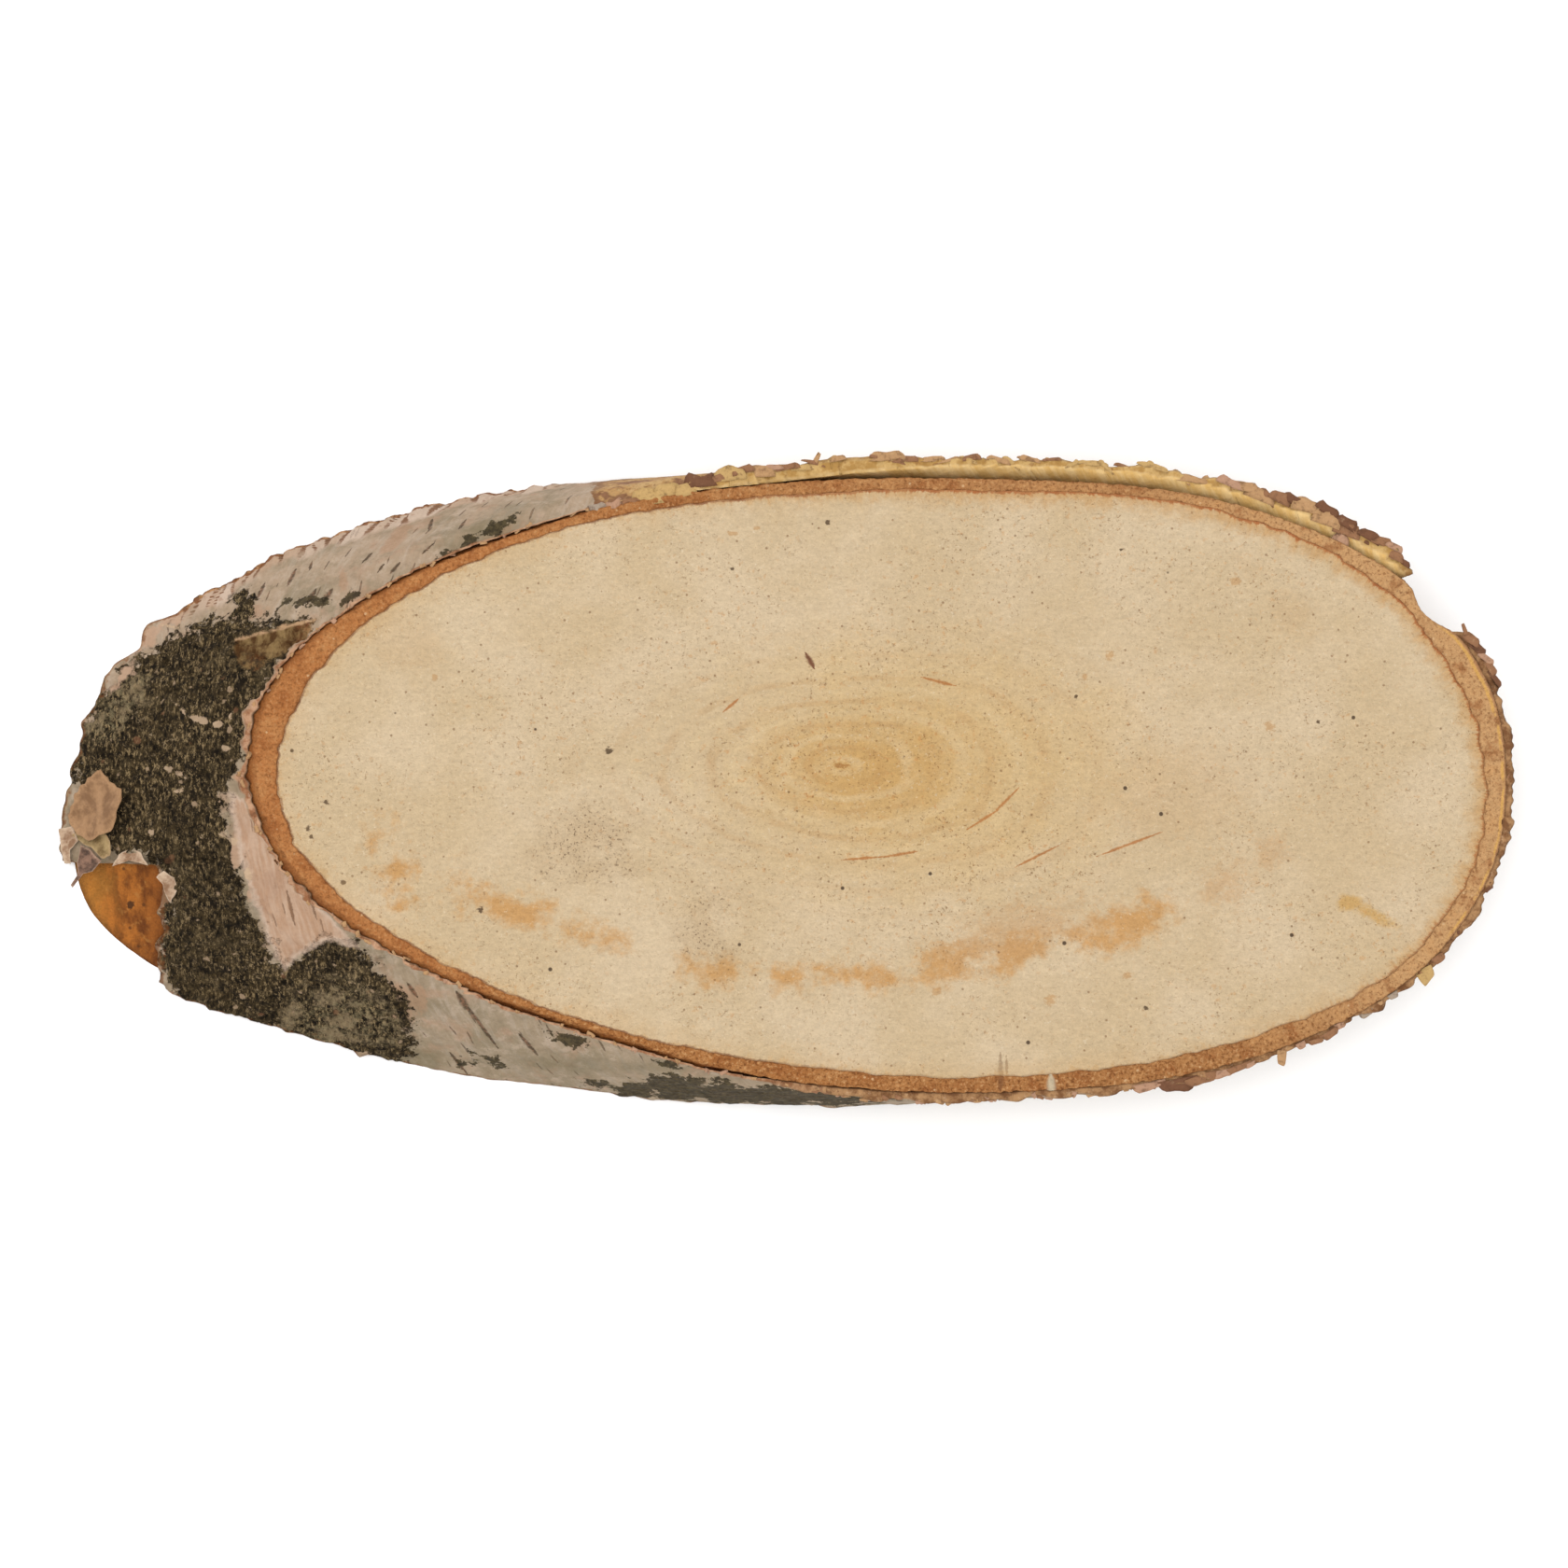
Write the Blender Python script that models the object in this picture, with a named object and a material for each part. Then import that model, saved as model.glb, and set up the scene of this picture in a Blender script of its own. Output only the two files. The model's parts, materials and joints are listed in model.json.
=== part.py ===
"""A birch wood slice: a thin trunk sawn twice at the same slant, so that each face is a long oval.

The pale wood, the rust-coloured inner bark round it and the papery outer bark are three bodies.
Everything is laid out in the trunk's own terms: a turn round its axis, a height between the two
sawn faces, and a radius square to the axis. place() turns those three into a point in metres.
+Z is up, +X runs along the long axis, and the slice lies on its lower face at z = 0.
"""

import math

import bmesh
import bpy
from mathutils import Vector, noise

MM = 0.001

# Driving dimensions, in metres and radians
THICKNESS = 0.017
SAW_SLANT = math.radians(30)
TOP_CENTRE = Vector((0.0155, -0.0001))
AXIS_RUN = Vector((-0.0290, -0.0021))
GAP = 0.0003
TRUNK_RADIUS = 0.050
THINNEST_BARK = 0.0006

# The trunk every 20 degrees round its axis, from the slice's right end, in mm: the wood's radius,
# the inner bark's thickness, the papery bark's thickness, how far that stands away as an open lip
# at the upper face, and how much the whole trunk swells towards the lower face.
PROFILE_STEP = math.radians(20)
TRUNK_PROFILE = (
    (47.0, 2.0, 0.9, 0.0, 0.0),
    (47.4, 2.7, 0.9, 0.0, 0.0),
    (48.9, 2.9, 0.9, 1.2, 0.0),
    (49.0, 2.3, 1.0, 1.9, 0.0),
    (45.7, 2.4, 1.0, 2.2, 0.0),
    (44.9, 2.5, 2.3, 0.0, 0.0),
    (46.1, 2.2, 1.7, 0.0, -0.5),
    (46.7, 2.8, 1.9, 0.0, -1.4),
    (47.1, 3.5, 1.3, 0.0, -2.4),
    (47.0, 2.9, 0.9, 0.0, -1.2),
    (46.1, 2.6, 0.9, 0.0, 2.5),
    (44.3, 2.5, 0.9, 0.0, 3.3),
    (44.0, 2.1, 0.9, 0.2, 1.1),
    (44.9, 2.7, 1.0, 0.2, -0.8),
    (47.1, 2.6, 1.2, 0.0, -0.7),
    (49.0, 3.2, 1.0, 0.0, 0.0),
    (49.6, 2.5, 0.9, 0.0, 0.0),
    (48.3, 1.9, 0.9, 0.0, 0.0),
)

# Mesh steps round the trunk, and levels from the lower face to the upper
WOOD_STEPS = 120
INNER_BARK_STEPS = 240
OUTER_BARK_STEPS = 330
SMOOTH_LEVELS = 3
OUTER_BARK_LEVELS = 5

# The lip leaves the inner bark this far under the upper face
LIP_DEPTH = 0.007

# Where the papery bark is torn away, as turns in degrees and a depth from the face in metres.
# The tear at the foot starts steeply, is deepest at its second turn, and runs out at its third.
RIM_NOTCH = (26.5, 37.5, 0.009)
FOOT_TEAR = (192.0, 196.0, 215.0, 0.0073)
TEAR_EDGE = 2.2

# The inner bark is dented where the rim is notched: turn, half-width and depth
DENT = (31.5, 6.0, 0.0012)
RAGGED_EDGE = 0.0006
RAGGED_SIZE = 0.006

# Chips broken out of the two edges: how far they stand out, their size, and how deep they reach
CHIP_REACH = 0.0011
CHIP_SIZE = 0.0038
CHIP_DEPTH = 0.0034

# The right end is smoother than the rest, within this half-width in degrees
SMOOTH_END_HALF_WIDTH = 30.0

# Rough bark plates, as a turn in degrees, its half-width and the height of the lumps
ROUGH_MIDDLE = 198.0
ROUGH_HALF_WIDTH = 46.0
LUMP_HEIGHT = 0.0007
LUMP_SIZE = 0.0045

WOOD_COLOUR = (0.73, 0.55, 0.33)
INNER_BARK_COLOUR = (0.42, 0.19, 0.07)
OUTER_BARK_COLOUR = (0.27, 0.24, 0.20)

FLAKE_STEPS = 4
FLAKE_THICKNESS = 0.0006
FLAKE_ROOT = 0.0010
FLAKE_ROOT_SHARE = 0.85

# Torn pieces that stand out: turn, share of the height, length, width, heading, lift and curl.
# The heading is in degrees from up the trunk round towards a growing turn.
TORN_PIECES = (
    (190.6, 0.25, 0.0112, 0.0084, -93, 12, 10),
    (191.6, 0.13, 0.0050, 0.0052, -60, 24, 25),
    (189.0, 0.05, 0.0024, 0.0026, 178, 28, 6),
    (186.2, 0.06, 0.0021, 0.0022, 195, 32, 4),
    (196.5, 0.44, 0.0034, 0.0040, 30, 35, 70),
    (120.5, 0.84, 0.0062, 0.0058, 35, 32, 20),
    (23.8, 0.95, 0.0052, 0.0017, 72, 24, 20),
    (21.6, 0.94, 0.0048, 0.0019, 60, 30, 25),
    (98.6, 0.94, 0.0026, 0.0018, 150, 60, 10),
    (95.2, 0.94, 0.0024, 0.0016, -95, 52, 10),
    (79.5, 0.95, 0.0036, 0.0024, 60, 32, 20),
    (76.5, 0.95, 0.0036, 0.0026, -70, 30, 25),
    (52.0, 0.95, 0.0032, 0.0030, -60, 30, 20),
    (44.5, 0.94, 0.0036, 0.0034, 40, 40, 10),
    (296.6, 0.84, 0.0030, 0.0058, 175, 60, 0),
    (306.4, 0.92, 0.0036, 0.0018, 175, 65, 0),
    (324.0, 0.92, 0.0034, 0.0024, 170, 62, 0),
    (171.0, 0.05, 0.0030, 0.0036, 180, 32, 15),
    (158.0, 0.05, 0.0030, 0.0040, 180, 35, 20),
    (148.0, 0.05, 0.0028, 0.0034, 170, 35, 20),
)


def profile_at(turn):
    """The five columns of the trunk's profile at this turn, in metres, on a smooth closed curve."""
    place_in_table = (turn / PROFILE_STEP) % len(TRUNK_PROFILE)
    row = int(place_in_table)
    share = place_in_table - row
    before, start, end, after = (
        TRUNK_PROFILE[(row + step) % len(TRUNK_PROFILE)] for step in (-1, 0, 1, 2)
    )
    values = []
    for a, b, c, d in zip(before, start, end, after):
        slope_in = (c - a) / 2
        slope_out = (d - b) / 2
        cubic = 2 * b - 2 * c + slope_in + slope_out
        square = 3 * c - 3 * b - 2 * slope_in - slope_out
        values.append(((cubic * share + square) * share + slope_in) * share + b)
    return [value * MM for value in values]


def place(turn, height, radius):
    """The point at this turn, height and trunk radius. The slanted cut stretches the section in X."""
    share_down = 1 - height / THICKNESS
    return Vector(
        (
            TOP_CENTRE.x + AXIS_RUN.x * share_down + radius / math.sin(SAW_SLANT) * math.cos(turn),
            TOP_CENTRE.y + AXIS_RUN.y * share_down + radius * math.sin(turn),
            height,
        )
    )


def swell(turn, height):
    return profile_at(turn)[4] * (1 - height / THICKNESS)


def wood_radius(turn, height):
    return profile_at(turn)[0] + swell(turn, height)


def dent(turn):
    middle, half_width, depth = DENT
    return depth * smooth_step(1 - abs(math.degrees(turn) - middle) / half_width)


def inner_bark_radius(turn, height):
    wood, inner = profile_at(turn)[:2]
    return wood + inner + swell(turn, height) - dent(turn)


def lip_opening(turn, height):
    """How far the papery bark stands away from the inner bark: nothing low down, most at the rim."""
    share = max(0.0, 1 - (THICKNESS - height) / LIP_DEPTH)
    return max(0.0, profile_at(turn)[3]) * share**1.6


def smooth_step(share):
    share = min(1.0, max(0.0, share))
    return share * share * (3 - 2 * share)


def unevenness(turn, size, row):
    """Noise from 0 to 1 along the edge of the slice. row keeps one edge's noise apart from another's."""
    along_edge = place(turn, 0.0, TRUNK_RADIUS) / size
    return min(1.0, max(0.0, 0.5 + 0.75 * noise.noise(along_edge + Vector((0, 0, row)))))


def ragged(turn, row):
    return 0.65 * unevenness(turn, RAGGED_SIZE, row) + 0.35 * unevenness(turn, RAGGED_SIZE / 2, row)


def notch(turn):
    """Depth of the torn place in the rim, whose sides are a few degrees wide."""
    first, last, depth = RIM_NOTCH
    degrees = math.degrees(turn) % 360
    rising = smooth_step((degrees - first) / TEAR_EDGE)
    falling = smooth_step((last - degrees) / TEAR_EDGE)
    return depth * rising * falling * (0.8 + 0.35 * ragged(turn, first))


def foot_tear(turn):
    """Depth of the torn place at the foot, which is steep at one side and runs out at the other."""
    first, deepest, last, depth = FOOT_TEAR
    degrees = math.degrees(turn) % 360
    rising = smooth_step((degrees - first) / TEAR_EDGE)
    gone = min(1.0, max(0.0, (degrees - deepest) / (last - deepest)))
    return depth * rising * (1 - gone**1.4) * (0.85 + 0.3 * ragged(turn, first))


def rim_height(turn):
    """Top of the papery bark: at the upper face, but for the ragged edge and the notch."""
    return THICKNESS - RAGGED_EDGE * ragged(turn, 1.0) - notch(turn)


def foot_height(turn):
    """Bottom of the papery bark: at the lower face, but for the place where it is torn away."""
    return RAGGED_EDGE * 0.5 * ragged(turn, 2.0) + foot_tear(turn)


def lumps(point, turn):
    """Relief of the rough plates, which fades out round the trunk."""
    away = (math.degrees(turn) - ROUGH_MIDDLE) / ROUGH_HALF_WIDTH
    share = smooth_step(1.5 - abs(away))
    coarse = noise.noise(point / LUMP_SIZE)
    fine = noise.noise(point / LUMP_SIZE * 2.3 + Vector((7, 3, 1)))
    return share * LUMP_HEIGHT * max(0.0, 0.3 + coarse + 0.6 * fine)


def chips(turn, height):
    """How far the broken bark stands out close to the two sawn edges."""
    near_rim = smooth_step(1 - (THICKNESS - height) / CHIP_DEPTH)
    near_foot = smooth_step(1 - height / CHIP_DEPTH)
    rim_chip = max(0.0, unevenness(turn, CHIP_SIZE, 3.0) - 0.35) / 0.65
    foot_chip = max(0.0, unevenness(turn, CHIP_SIZE, 4.0) - 0.5) / 0.5
    from_right_end = abs((math.degrees(turn) + 180) % 360 - 180)
    near_rim *= 1 - 0.75 * smooth_step(1.4 - from_right_end / SMOOTH_END_HALF_WIDTH)
    return CHIP_REACH * (near_rim * rim_chip + 0.6 * near_foot * foot_chip)


def paper_inside(turn, height):
    return inner_bark_radius(turn, height) + GAP + lip_opening(turn, height)


def paper_outside(turn, height):
    base = inner_bark_radius(turn, height) + profile_at(turn)[2] + lip_opening(turn, height)
    base = max(base, paper_inside(turn, height) + THINNEST_BARK)
    return base + chips(turn, height) + lumps(place(turn, height, base), turn)


def finish_object(name, bm, colour, roughness):
    """Turns a bmesh into a named object with its own material."""
    bmesh.ops.recalc_face_normals(bm, faces=bm.faces)
    mesh = bpy.data.meshes.new(name)
    bm.to_mesh(mesh)
    bm.free()
    mesh.materials.append(surface_material(name, colour, roughness))
    mesh.shade_smooth()
    mesh.set_sharp_from_angle(angle=math.radians(40))
    piece = bpy.data.objects.new(name, mesh)
    bpy.context.scene.collection.objects.link(piece)
    return piece


def surface_material(name, colour, roughness):
    material = bpy.data.materials.new(name)
    material.use_nodes = True
    shader = material.node_tree.nodes["Principled BSDF"]
    shader.inputs["Base Color"].default_value = (*colour, 1.0)
    shader.inputs["Roughness"].default_value = roughness
    shader.inputs["Metallic"].default_value = 0.0
    return material


def make_wood():
    """The sawn wood: a slanted prism with two flat oval faces."""
    bm = bmesh.new()
    rings = []
    for level in range(SMOOTH_LEVELS + 1):
        height = THICKNESS * level / SMOOTH_LEVELS
        ring = []
        for step in range(WOOD_STEPS):
            turn = math.tau * step / WOOD_STEPS
            ring.append(bm.verts.new(place(turn, height, wood_radius(turn, height))))
        rings.append(ring)
    for low, high in zip(rings, rings[1:]):
        for step in range(WOOD_STEPS):
            following = (step + 1) % WOOD_STEPS
            bm.faces.new((low[step], low[following], high[following], high[step]))
    bm.faces.new(rings[0])
    bm.faces.new(rings[-1])
    return finish_object("wood", bm, WOOD_COLOUR, 0.75)


def make_band(name, steps, column_at, colour, roughness):
    """A closed band round the trunk. column_at gives the closed section at one turn."""
    bm = bmesh.new()
    columns = []
    for step in range(steps):
        points = column_at(math.tau * step / steps)
        columns.append([bm.verts.new(point) for point in points])
    for column, following in zip(columns, columns[1:] + columns[:1]):
        for row in range(len(column)):
            up = (row + 1) % len(column)
            bm.faces.new((column[row], following[row], following[up], column[up]))
    return finish_object(name, bm, colour, roughness)


def inner_bark_column(turn):
    heights = [THICKNESS * level / SMOOTH_LEVELS for level in range(SMOOTH_LEVELS + 1)]
    outside = [place(turn, height, inner_bark_radius(turn, height)) for height in heights]
    inside = [place(turn, height, wood_radius(turn, height) + GAP) for height in heights]
    return outside + inside[::-1]


def outer_bark_column(turn):
    low, high = foot_height(turn), rim_height(turn)
    outside = []
    for level in range(OUTER_BARK_LEVELS + 1):
        height = low + (high - low) * level / OUTER_BARK_LEVELS
        outside.append(place(turn, height, paper_outside(turn, height)))
    inside = []
    for level in range(SMOOTH_LEVELS + 1):
        height = low + (high - low) * level / SMOOTH_LEVELS
        inside.append(place(turn, height, paper_inside(turn, height)))
    return outside + inside[::-1]


def bark_directions(turn, height):
    """Unit vectors on the bark's face: up the trunk, round it, and straight out of it."""
    radius = inner_bark_radius(turn, height)
    step = 0.01
    here = place(turn, height, radius)
    up = (place(turn, height + MM, radius) - here).normalized()
    round_trunk = (place(turn + step, height, radius) - here).normalized()
    out = round_trunk.cross(up).normalized()
    return up, round_trunk, out


def flake_mesh(turn_degrees, share, length, width, heading, lift, curl):
    """A thin torn flake, rooted in the papery bark, that lifts off and curls as it goes."""
    turn = math.radians(turn_degrees)
    height = foot_height(turn) + (rim_height(turn) - foot_height(turn)) * share
    up, round_trunk, out = bark_directions(turn, height)
    heading = math.radians(heading)
    along = up * math.cos(heading) + round_trunk * math.sin(heading)
    across = along.cross(out)
    inside, outside = paper_inside(turn, height), paper_outside(turn, height)
    root = inside + (outside - inside) * FLAKE_ROOT_SHARE
    point = place(turn, height, root) - along * FLAKE_ROOT
    bm = bmesh.new()
    sections = []
    for step in range(FLAKE_STEPS + 1):
        gone = step / FLAKE_STEPS
        angle = math.radians(lift * min(1.0, 0.35 + gone) + curl * gone)
        forward = along * math.cos(angle) + out * math.sin(angle)
        facing = out * math.cos(angle) - along * math.sin(angle)
        half = width / 2 * (1 - 0.72 * gone**2)
        thick = FLAKE_THICKNESS / 2
        corners = ((-half, -thick), (half, -thick), (half, thick), (-half, thick))
        points = [point + across * side + facing * rise for side, rise in corners]
        sections.append([bm.verts.new(corner) for corner in points])
        point = point + forward * ((length + FLAKE_ROOT) / FLAKE_STEPS)
    for near, far in zip(sections, sections[1:]):
        for corner in range(4):
            following = (corner + 1) % 4
            bm.faces.new((near[corner], near[following], far[following], far[corner]))
    bm.faces.new(sections[0])
    bm.faces.new(sections[-1])
    saw_through(bm, THICKNESS, 1)
    saw_through(bm, 0.0, -1)
    bmesh.ops.recalc_face_normals(bm, faces=bm.faces)
    return bm


def saw_through(bm, height, outward):
    """Takes off what stands past a sawn face, and closes the cut."""
    cut = bmesh.ops.bisect_plane(
        bm,
        geom=[*bm.verts, *bm.edges, *bm.faces],
        plane_co=(0, 0, height),
        plane_no=(0, 0, outward),
        clear_outer=True,
    )
    edges = [found for found in cut["geom_cut"] if isinstance(found, bmesh.types.BMEdge)]
    bmesh.ops.holes_fill(bm, edges=edges)


def make_outer_bark():
    """The papery bark with its torn flaps and flakes joined to it."""
    bark = make_band("outer_bark", OUTER_BARK_STEPS, outer_bark_column, OUTER_BARK_COLOUR, 0.85)
    flakes = bpy.data.collections.new("flakes")
    bpy.context.scene.collection.children.link(flakes)
    for number, sizes in enumerate(TORN_PIECES):
        bm = flake_mesh(*sizes)
        mesh = bpy.data.meshes.new(f"flake_{number}")
        bm.to_mesh(mesh)
        bm.free()
        flakes.objects.link(bpy.data.objects.new(f"flake_{number}", mesh))
    join = bark.modifiers.new("join flakes", "BOOLEAN")
    join.operation = "UNION"
    join.operand_type = "COLLECTION"
    join.collection = flakes
    join.solver = "EXACT"
    bpy.context.view_layer.objects.active = bark
    bpy.ops.object.modifier_apply(modifier=join.name)
    for flake in list(flakes.objects):
        bpy.data.objects.remove(flake)
    bpy.data.collections.remove(flakes)
    return bark


def clear_scene():
    for old in list(bpy.data.objects):
        bpy.data.objects.remove(old)


def main():
    clear_scene()
    make_wood()
    make_band("inner_bark", INNER_BARK_STEPS, inner_bark_column, INNER_BARK_COLOUR, 0.85)
    make_outer_bark()


main()
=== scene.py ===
# %% [markdown]
# A birch wood slice, seen from straight above on a white floor. The trunk was sawn twice at the same
# slant, so each face is a long oval and the left end shows the bark as a slope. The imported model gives
# three plain bodies: the sawn wood, the rusty inner bark and the papery outer bark. Each gets a finer
# piece here, in the same place, with the relief and colours that a birch has.

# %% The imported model
import json
import math
import random
from functools import lru_cache

import bpy
import numpy as np
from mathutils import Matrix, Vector, noise


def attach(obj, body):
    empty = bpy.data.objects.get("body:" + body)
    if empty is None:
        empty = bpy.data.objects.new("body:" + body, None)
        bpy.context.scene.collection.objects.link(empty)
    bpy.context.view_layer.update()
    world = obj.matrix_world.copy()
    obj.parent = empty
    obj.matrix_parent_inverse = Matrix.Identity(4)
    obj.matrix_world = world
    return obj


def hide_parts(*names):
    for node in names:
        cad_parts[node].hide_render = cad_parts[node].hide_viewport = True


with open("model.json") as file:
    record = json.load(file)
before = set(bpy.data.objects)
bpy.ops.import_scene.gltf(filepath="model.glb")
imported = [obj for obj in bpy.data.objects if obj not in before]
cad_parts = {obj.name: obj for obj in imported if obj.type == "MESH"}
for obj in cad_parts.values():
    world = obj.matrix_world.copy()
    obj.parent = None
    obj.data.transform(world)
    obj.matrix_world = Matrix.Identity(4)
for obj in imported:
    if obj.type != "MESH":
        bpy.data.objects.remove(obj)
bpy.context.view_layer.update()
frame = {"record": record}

# %% [markdown]
# The camera comes first, because everything else is judged through it. A long lens from far above
# gives almost no perspective, so the sloping bark at the left looks as wide as it is. The view is
# set to Standard, so that a colour given to a finish comes out as that colour on the picture.

# %% Camera
MM = 0.001
MOUNTS = {mount["name"]: Vector(mount["pos_m"]) for mount in frame["record"]["mounts"]}
TOP_CENTRE = MOUNTS["top_face"]
FOOT_CENTRE = MOUNTS["base_face"]
THICKNESS = TOP_CENTRE.z
PICTURE_WIDTH = 0.2464
PICTURE_MIDDLE = (0.0001, -0.0008)
SENSOR = 36.0
LENS = 500.0


def add_object(name, data):
    """Puts a new object with this data into the scene."""
    made = bpy.data.objects.new(name, data)
    bpy.context.scene.collection.objects.link(made)
    return made


camera_data = bpy.data.cameras.new("camera")
camera_data.lens = LENS
camera_data.sensor_width = SENSOR
camera_data.clip_end = 20
camera = add_object("camera", camera_data)
camera.location = (*PICTURE_MIDDLE, THICKNESS + PICTURE_WIDTH * LENS / SENSOR)
bpy.context.scene.camera = camera
bpy.context.scene.view_settings.view_transform = "Standard"
print("camera height", round(camera.location.z, 3))

# %% [markdown]
# Soft light for a small object: a bright, even surrounding takes away hard shadows, and one large
# lamp from the upper left gives the bark some shape. Together they light a level white card to
# a little over full white, which keeps the floor clean. Paints are mixed darker by the same share, so
# that each colour comes out as it is written.

# %% Floor and light
FLOOR_SIZE = 4.0
FLOOR_DROP = 0.0001
FLOOR_WHITE = 0.97
SURROUND = 1.36
LAMP_POWER = 12.0
LAMP_SIZE = 2.4
LAMP_PLACE = Vector((-0.45, 0.45, 1.55))
LIGHT_LEVEL = 1.55

world = bpy.data.worlds.new("studio")
bpy.context.scene.world = world
world.use_nodes = True
background = world.node_tree.nodes["Background"]
background.inputs["Color"].default_value = (1.0, 1.0, 1.0, 1.0)
background.inputs["Strength"].default_value = SURROUND

lamp_data = bpy.data.lights.new("lamp", "AREA")
lamp_data.size = LAMP_SIZE
lamp_data.energy = LAMP_POWER
lamp = add_object("lamp", lamp_data)
lamp.location = LAMP_PLACE
lamp.rotation_euler = (-LAMP_PLACE).to_track_quat("-Z", "Y").to_euler()

floor_mesh = bpy.data.meshes.new("floor")
floor_corners = [(x * FLOOR_SIZE / 2, y * FLOOR_SIZE / 2, -FLOOR_DROP)
                 for x, y in ((-1, -1), (1, -1), (1, 1), (-1, 1))]
floor_mesh.from_pydata(floor_corners, [], [(0, 1, 2, 3)])
floor = add_object("floor", floor_mesh)
floor_finish = bpy.data.materials.new("white_floor")
floor_finish.use_nodes = True
floor_shader = floor_finish.node_tree.nodes["Principled BSDF"]
floor_shader.inputs["Base Color"].default_value = (FLOOR_WHITE, FLOOR_WHITE, FLOOR_WHITE, 1.0)
floor_shader.inputs["Roughness"].default_value = 0.95
floor_shader.inputs["Specular IOR Level"].default_value = 0.1
floor_mesh.materials.append(floor_finish)
print("floor", FLOOR_SIZE, "m wide, lamp", LAMP_POWER, "W")

# %% [markdown]
# The slice is described in the trunk's own terms, as a wood turner would think of it: a turn round
# the axis, a height between the two sawn faces, and a radius square to the axis. The table gives the
# trunk every 20 degrees from the right end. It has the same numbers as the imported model, so that the
# finer pieces lie exactly where the plain ones are.

# %% The trunk
SAW_SLANT = math.radians(30)
GAP = 0.0003
THINNEST_BARK = 0.0006
LIP_DEPTH = 0.007
TRUNK_RADIUS = 0.050
DENT = (31.5, 6.0, 0.0012)
RING_TRIM = (114.0, 254.0, 0.0006)
PROFILE_STEP = math.radians(20)
TRUNK_PROFILE = (
    (47.0, 2.0, 0.9, 0.0, 0.0),
    (47.4, 2.7, 0.9, 0.0, 0.0),
    (48.9, 2.9, 0.9, 1.2, 0.0),
    (49.0, 2.3, 1.0, 1.9, 0.0),
    (45.7, 2.4, 1.0, 2.2, 0.0),
    (44.9, 2.5, 2.3, 0.0, 0.0),
    (46.1, 2.2, 1.7, 0.0, -0.5),
    (46.7, 2.8, 1.9, 0.0, -1.4),
    (47.1, 3.5, 1.3, 0.0, -2.4),
    (47.0, 2.9, 0.9, 0.0, -1.2),
    (46.1, 2.6, 0.9, 0.0, 2.5),
    (44.3, 2.5, 0.9, 0.0, 3.3),
    (44.0, 2.1, 0.9, 0.2, 1.1),
    (44.9, 2.7, 1.0, 0.2, -0.8),
    (47.1, 2.6, 1.2, 0.0, -0.7),
    (49.0, 3.2, 1.0, 0.0, 0.0),
    (49.6, 2.5, 0.9, 0.0, 0.0),
    (48.3, 1.9, 0.9, 0.0, 0.0),
)
AXIS = (TOP_CENTRE - FOOT_CENTRE).normalized()
UP_SLOPE = AXIS.cross(Vector((0, 1, 0))).normalized()
SIDEWAYS = AXIS.cross(UP_SLOPE).normalized()
print("trunk axis", [round(value, 3) for value in AXIS])

# %% Places and radii on the trunk
@lru_cache(maxsize=None)
def profile_at(turn):
    """Wood radius, inner bark, papery bark, open lip and swell at this turn, in metres."""
    place_in_table = (turn / PROFILE_STEP) % len(TRUNK_PROFILE)
    row = int(place_in_table)
    share = place_in_table - row
    near = [TRUNK_PROFILE[(row + step) % len(TRUNK_PROFILE)] for step in (-1, 0, 1, 2)]
    values = []
    for a, b, c, d in zip(*near):
        slope_in = (c - a) / 2
        slope_out = (d - b) / 2
        cubic = 2 * b - 2 * c + slope_in + slope_out
        square = 3 * c - 3 * b - 2 * slope_in - slope_out
        values.append((((cubic * share + square) * share + slope_in) * share + b) * MM)
    return values


def place(turn, height, radius):
    """The point at this turn, height and trunk radius. The slanted cut stretches it in X."""
    centre = FOOT_CENTRE.lerp(TOP_CENTRE, height / THICKNESS)
    across = radius / math.sin(SAW_SLANT) * math.cos(turn)
    return Vector((centre.x + across, centre.y + radius * math.sin(turn), height))


def swell(turn, height):
    """How much wider the trunk is here than at the upper face."""
    return profile_at(turn)[4] * (1 - height / THICKNESS)


def wood_radius(turn, height):
    """Radius of the wood."""
    return profile_at(turn)[0] + swell(turn, height)


def smooth_step(share):
    """A soft step from 0 to 1."""
    share = min(1.0, max(0.0, share))
    return share * share * (3 - 2 * share)


def dent(turn):
    """Depth of the dent under the notch."""
    middle, half_width, depth = DENT
    return depth * smooth_step(1 - abs(math.degrees(turn) - middle) / half_width)


def inner_bark_radius(turn, height):
    """Outer radius of the inner bark, less the dent and the worn upper edge."""
    degrees = math.degrees(turn)
    trim = smooth_step((degrees - RING_TRIM[0]) / 12) * smooth_step((RING_TRIM[1] - degrees) / 12)
    worn = dent(turn) + RING_TRIM[2] * trim * height / THICKNESS
    return wood_radius(turn, height) + profile_at(turn)[1] - worn


def lip_opening(turn, height):
    """How far the open lip stands out."""
    share = max(0.0, 1 - (THICKNESS - height) / LIP_DEPTH)
    return max(0.0, profile_at(turn)[3]) * share**1.6


def bumps(point, size, seed=0):
    """Smooth noise from about -0.6 to 0.6, with lumps of this size in metres."""
    return noise.noise(point / size + Vector((7.3, 3.1, 5.7)) * seed)


print("wood radius at the right end", round(wood_radius(0.0, 0.0), 4), "m")

# %% [markdown]
# The papery bark is broken at both sawn edges. Chips stand out, the rim is ragged, a piece is torn
# out of it at the upper right, and at the lower left a larger piece of the foot is gone, so that the
# smooth orange bark below it shows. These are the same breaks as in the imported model.

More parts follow.
